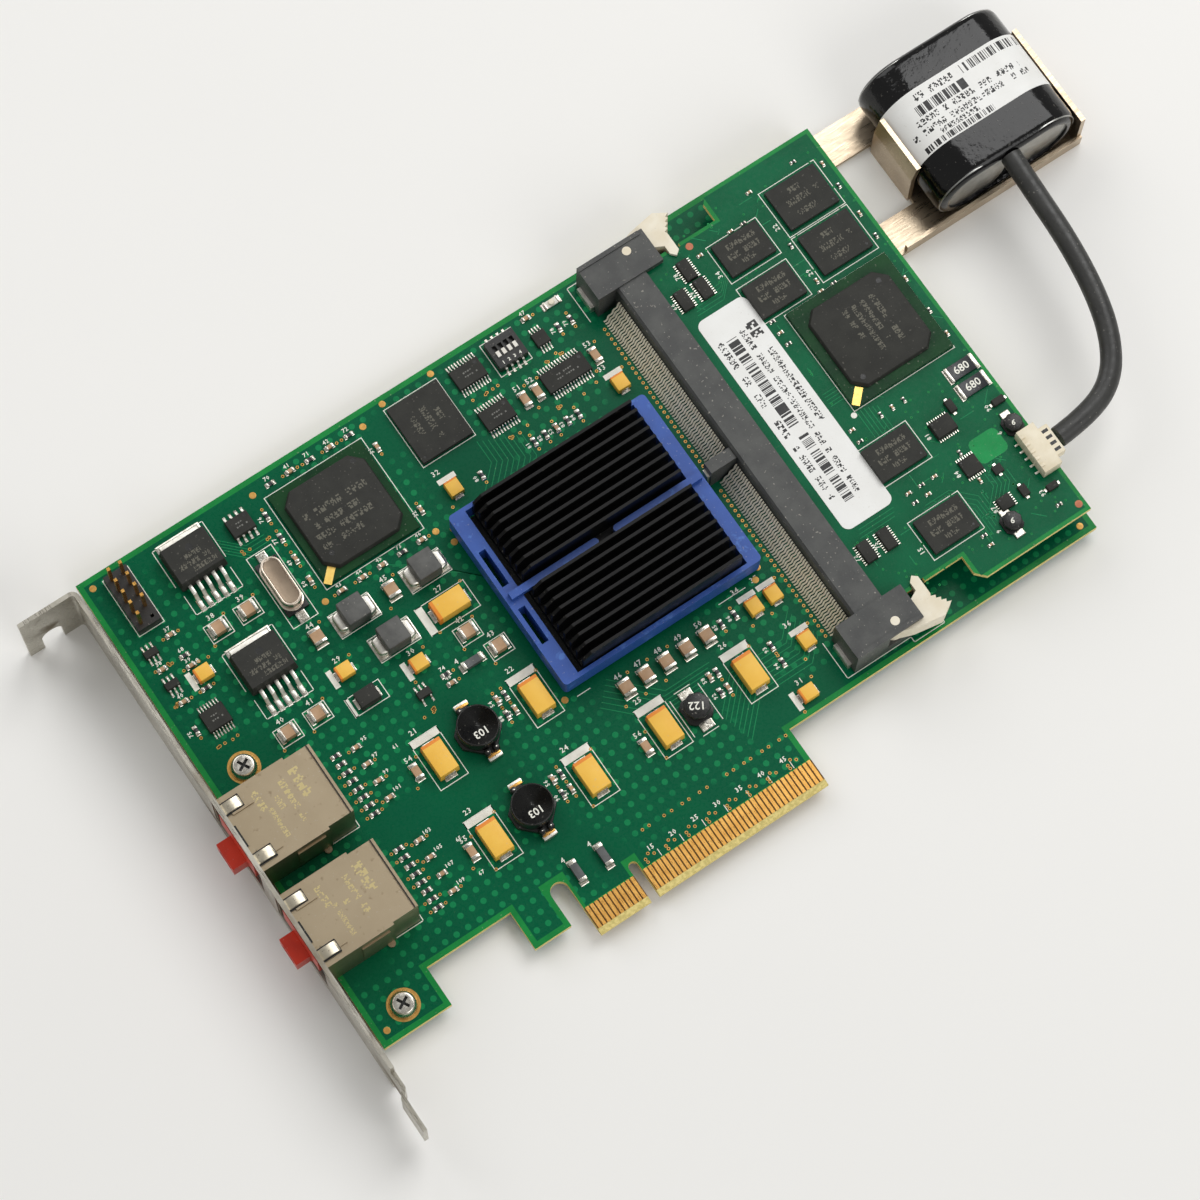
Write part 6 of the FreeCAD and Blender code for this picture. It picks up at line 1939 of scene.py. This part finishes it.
for low, high in solids("module_small_chips"):
    size = high - low
    x, y = ((low + high) / 2).xy
    if size.z > 1.9:
        parts.append(wound(x, y, size.x / 2, MODULE_PLATE, high.z, "9"))
        continue
    tall = size.y > size.x
    side_gap = 0.0 if tall and size.y < 4 else 0.12
    body = block(
        (low.x + side_gap, low.y + 0.1, low.z + 0.05), (high.x - side_gap, high.y - 0.1, high.z)
    )
    lean_in(body, 0.94)
    parts.append(painted(body, chip_resin, 0.06))
    if min(size.xy) > 2:
        parts.append(recess(low.x + 0.7, high.y - 0.7, high.z, 0.22, 10))
        count = int((max(size.xy) - 0.5) / LEAD_PITCH)
        for step in range(count + 1):
            along = (step - count / 2) * LEAD_PITCH
            lead_pair(x, y, min(size.xy) / 2 + 0.18, along, 0.34, LEAD_HALF, tall)
    else:
        lead_pair(x, y, max(size.xy) / 2 + 0.1, 0, 0.35, 0.4, not tall)
remade(parts, "module_small_chips", "chip_black")

# %% Leads and values of the module
parts = []
for x0, x1, y0, y1 in lead_spots:
    lead = block((x0, y0, MODULE_PLATE + PAD_FOOT), (x1, y1, MODULE_PLATE + 0.22))
    lean_in(lead, 0.8)
    parts.append(lead)
settle(parts, "module_chip_leads", "tin", made=solder)
print("module leads", len(lead_spots))
values = []
for low, high in solids("module_small_parts"):
    if high.x - low.x > 5:
        x, y = ((low + high) / 2).xy
        values.append(stamped("680", x, y, high.z + 0.02, 2.2))
settle(values, "module_values", "white_plastic")

# %% [markdown]
# ## Tracks
# Copper tracks stand a hair above the laminate and show through the lacquer as paler lines. Each
# track is a row of thin plates laid from bend to bend, and a bundle repeats it at an even pitch.

# %% Tracks
track_green = finish(
    "track_lacquer", (22, 136, 84), (14, 120, 72), (0.26, 0.4), patch=(200, 0.6),
    grain=1400, specular=0.15,
)
bright_pour = finish(
    "bright_pour", (20, 148, 78), (12, 124, 64), (0.26, 0.4), patch=(200, 0.6), grain=1400,
    specular=0.15,
)
MODULE_TOP = MODULE_PLATE + LIFT
BOARD_TRACKS = LIFT + 0.006
MODULE_TRACKS = MODULE_TOP + 0.006
BUNDLES = (  # level, width, number of tracks, step from one to the next, and the bends
    (BOARD_TRACKS, 0.16, 9, (1.0, -0.45), ((10, 82), (16, 82), (22, 88), (22, 93))),
    (BOARD_TRACKS, 0.16, 7, (0.9, -0.9), ((-6, 82), (0, 78), (6, 72))),
    (BOARD_TRACKS, 0.16, 8, (0.3, -1.0), ((30, 22), (36, 28), (48, 28), (52, 32))),
    (BOARD_TRACKS, 0.16, 6, (0.8, 0.8), ((12, 36), (20, 28), (30, 28))),
    (BOARD_TRACKS, 0.16, 5, (0, -0.8), ((-30, 104), (-26, 100), (-22, 100))),
    (MODULE_TRACKS, 0.12, 6, (0.8, -0.3), ((80.6, 44), (84, 47.4), (84, 56))),
    (MODULE_TRACKS, 0.12, 5, (0, -0.7), ((80.6, 62), (86, 62), (90, 58))),
    (MODULE_TRACKS, 0.12, 5, (0.3, 0.8), ((70, 88.5), (76, 88.5), (80, 92.5))),
    (MODULE_TRACKS, 0.12, 5, (0.8, -0.2), ((92, 24), (97, 29), (97, 33))),
    (MODULE_TRACKS, 0.12, 6, (0.7, 0.6), ((80.5, 30), (86, 30), (90, 26), (90, 20))),
    (MODULE_TRACKS, 0.12, 3, (0.4, 0.8), ((70, 34.5), (78, 34.5))),
)
SCATTERED_TRACKS = 130
SCATTERED_VIAS = 300
track_pieces = []


def track(corners, level, wide):
    """Plates from bend to bend."""
    for start, end in zip(corners, corners[1:]):
        start, end = Vector(start), Vector(end)
        middle, reach = (start + end) / 2, end - start
        turn = math.atan2(reach.y, reach.x)
        track_pieces.append(flat(*middle, level, reach.length + wide * 0.4, wide, turn))


def under_parts(x, y):
    """Whether a place on the module lies under its label or its controller."""
    return 67 < x < 81 and 35 < y < 89 or 82 < x < 106 and 52 < y < 81


for level, wide, count, shift, corners in BUNDLES:
    for step in range(count):
        track([(x + shift[0] * step, y + shift[1] * step) for x, y in corners], level, wide)
random.seed(23)
for step in range(SCATTERED_TRACKS):
    x = random.uniform(68, 108)
    y = random.uniform(18, 104)
    if under_parts(x, y):
        continue
    reach = random.choice((1.2, 2.0, 3.0))
    way = random.choice(((1, 0), (0, 1), (0.7, 0.7), (0.7, -0.7)))
    track([(x, y), (x + way[0] * reach, y + way[1] * reach)], MODULE_TRACKS, 0.14)
settle(track_pieces, "tracks", "green_board", made=track_green)
patch = block((97.6, 33.4, MODULE_PLATE), (104.1, 38.8, MODULE_TOP + 0.01))
round_edges(patch, upright, 1.2, 3)
settle([patch], "bright_patch", "green_board", made=bright_pour)

# %% Vias of the module
dot = paint(disc(0, 0, MODULE_TOP, MODULE_TOP + 0.02, 0.24, 8), [bright_pour])
# The dark centre of each module via is painted shade in its hole.
hole = paint(disc(0, 0, MODULE_TOP, MODULE_TOP + 0.026, 0.1, 6), [hole_shade])
places = []
for step in range(SCATTERED_VIAS):
    places.append((random.uniform(67.5, 109), random.uniform(17, 105)))
places = [place for place in places if not under_parts(*place)]
settle(spread(merged([dot, hole], "module_via"), places), "module_vias", "green_board")
white_spot = disc(83.2, 55.3, MODULE_TOP, MODULE_TOP + 0.03, 0.6, 16)
settle([white_spot], "white_spot", "white_plastic", made=ink)

# %% [markdown]
# ## Cable plug
# The header on the module is an open cream box with a rib between its contacts. The plug slides in
# from the side and takes the end of the cable, and the windows in its top, over its contacts, are
# filled with dark blocks of painted shade.

# %% Header and plug
cream_nylon = finish(
    "header_cream", (238, 228, 204), (220, 206, 174), (0.4, 0.52), patch=(300, 0.6),
    grain=2600,
)
low, high = span("cable_header")
header = block(low, high)
pick(header, lambda middle, normal: normal.x > 0.9)
shrink(0.6)
push(x=-1.6)
done()
parts = [painted(header, cream_nylon, 0.12)]
for step in range(5):
    y = low.y + 1.5 + step * (high.y - low.y - 3.0) / 4
    rib = block((low.x - 0.05, y - 0.3, low.z + 0.3), (low.x + 0.9, y + 0.3, high.z + 0.25))
    tail = block((low.x - 0.9, y - 0.2, low.z + 0.02), (low.x + 0.1, y + 0.2, low.z + 0.3))
    parts += [painted(rib, cream_nylon, 0.08), painted(tail, tin, 0.04)]
remade(parts, "cable_header", "white_plastic")
low, high = span("cable_plug")
parts = [painted(block(low, high), cream_nylon, 0.2)]
for step in range(4):
    y = low.y + 1.1 + step * (high.y - low.y - 2.2) / 3
    # Each window is a dark sunk block of painted shade.
    window_shade = block((low.x + 3.1, y - 0.35, high.z - 0.4), (high.x - 0.5, y + 0.35, high.z + 0.012))
    parts.append(painted(window_shade, painted_shade, 0.03, 1))
plug = remade(parts, "cable_plug", "white_plastic")
Vector(CABLE_ROUTE[0]) * MM

# %% [markdown]
# ## Underside
# Every pin that goes through the board ends in a cone of solder on the underside. One cone is a
# disc drawn in to a blunt point, set at each pin.

# %% Solder joints
PIN_BACK = 3.6
PIN_FIRST = 3.57
PIN_STEP = 1.02
PIN_STAGGER = 2.54
PEG_X = -50.3
PEG_OUT = 7.9
through = [((low + high) / 2).xy for low, high in solids("pin_header_pins")]
for node in ("jack_shield_lower", "jack_shield_upper"):
    low, high = span(node)
    middle = (low.y + high.y) / 2
    for step in range(8):
        x = high.x - PIN_BACK - PIN_STAGGER * (step % 2)
        through.append((x, middle - PIN_FIRST + PIN_STEP * step))
    through += [(PEG_X, middle - PEG_OUT), (PEG_X, middle + PEG_OUT)]
foot = board_low.z
cone = disc(0, 0, foot - 0.75, foot, 0.28, 12, 0.95)
pin = disc(0, 0, foot - 1.1, foot - 0.6, 0.22, 8)
joint = merged([painted(cone, solder, 0.12, 2, 20), painted(pin, tin, 0.05)], "solder_cone")
settle(spread(joint, through), "solder_joints", "tin")
print("solder joints", len(through))

# %% [markdown]
# ## Sizes at the end
# The box of the dressed card is measured and printed, to set beside the box of the CAD card.

# %% Sizes and finish
dressed_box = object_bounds()
boxes = {"cad": cad_box, "dressed": dressed_box}
{name: [list(corner) for corner in box] for name, box in boxes.items()}
print("dressed card", [tuple(round(v / MM, 2) for v in corner) for corner in dressed_box])
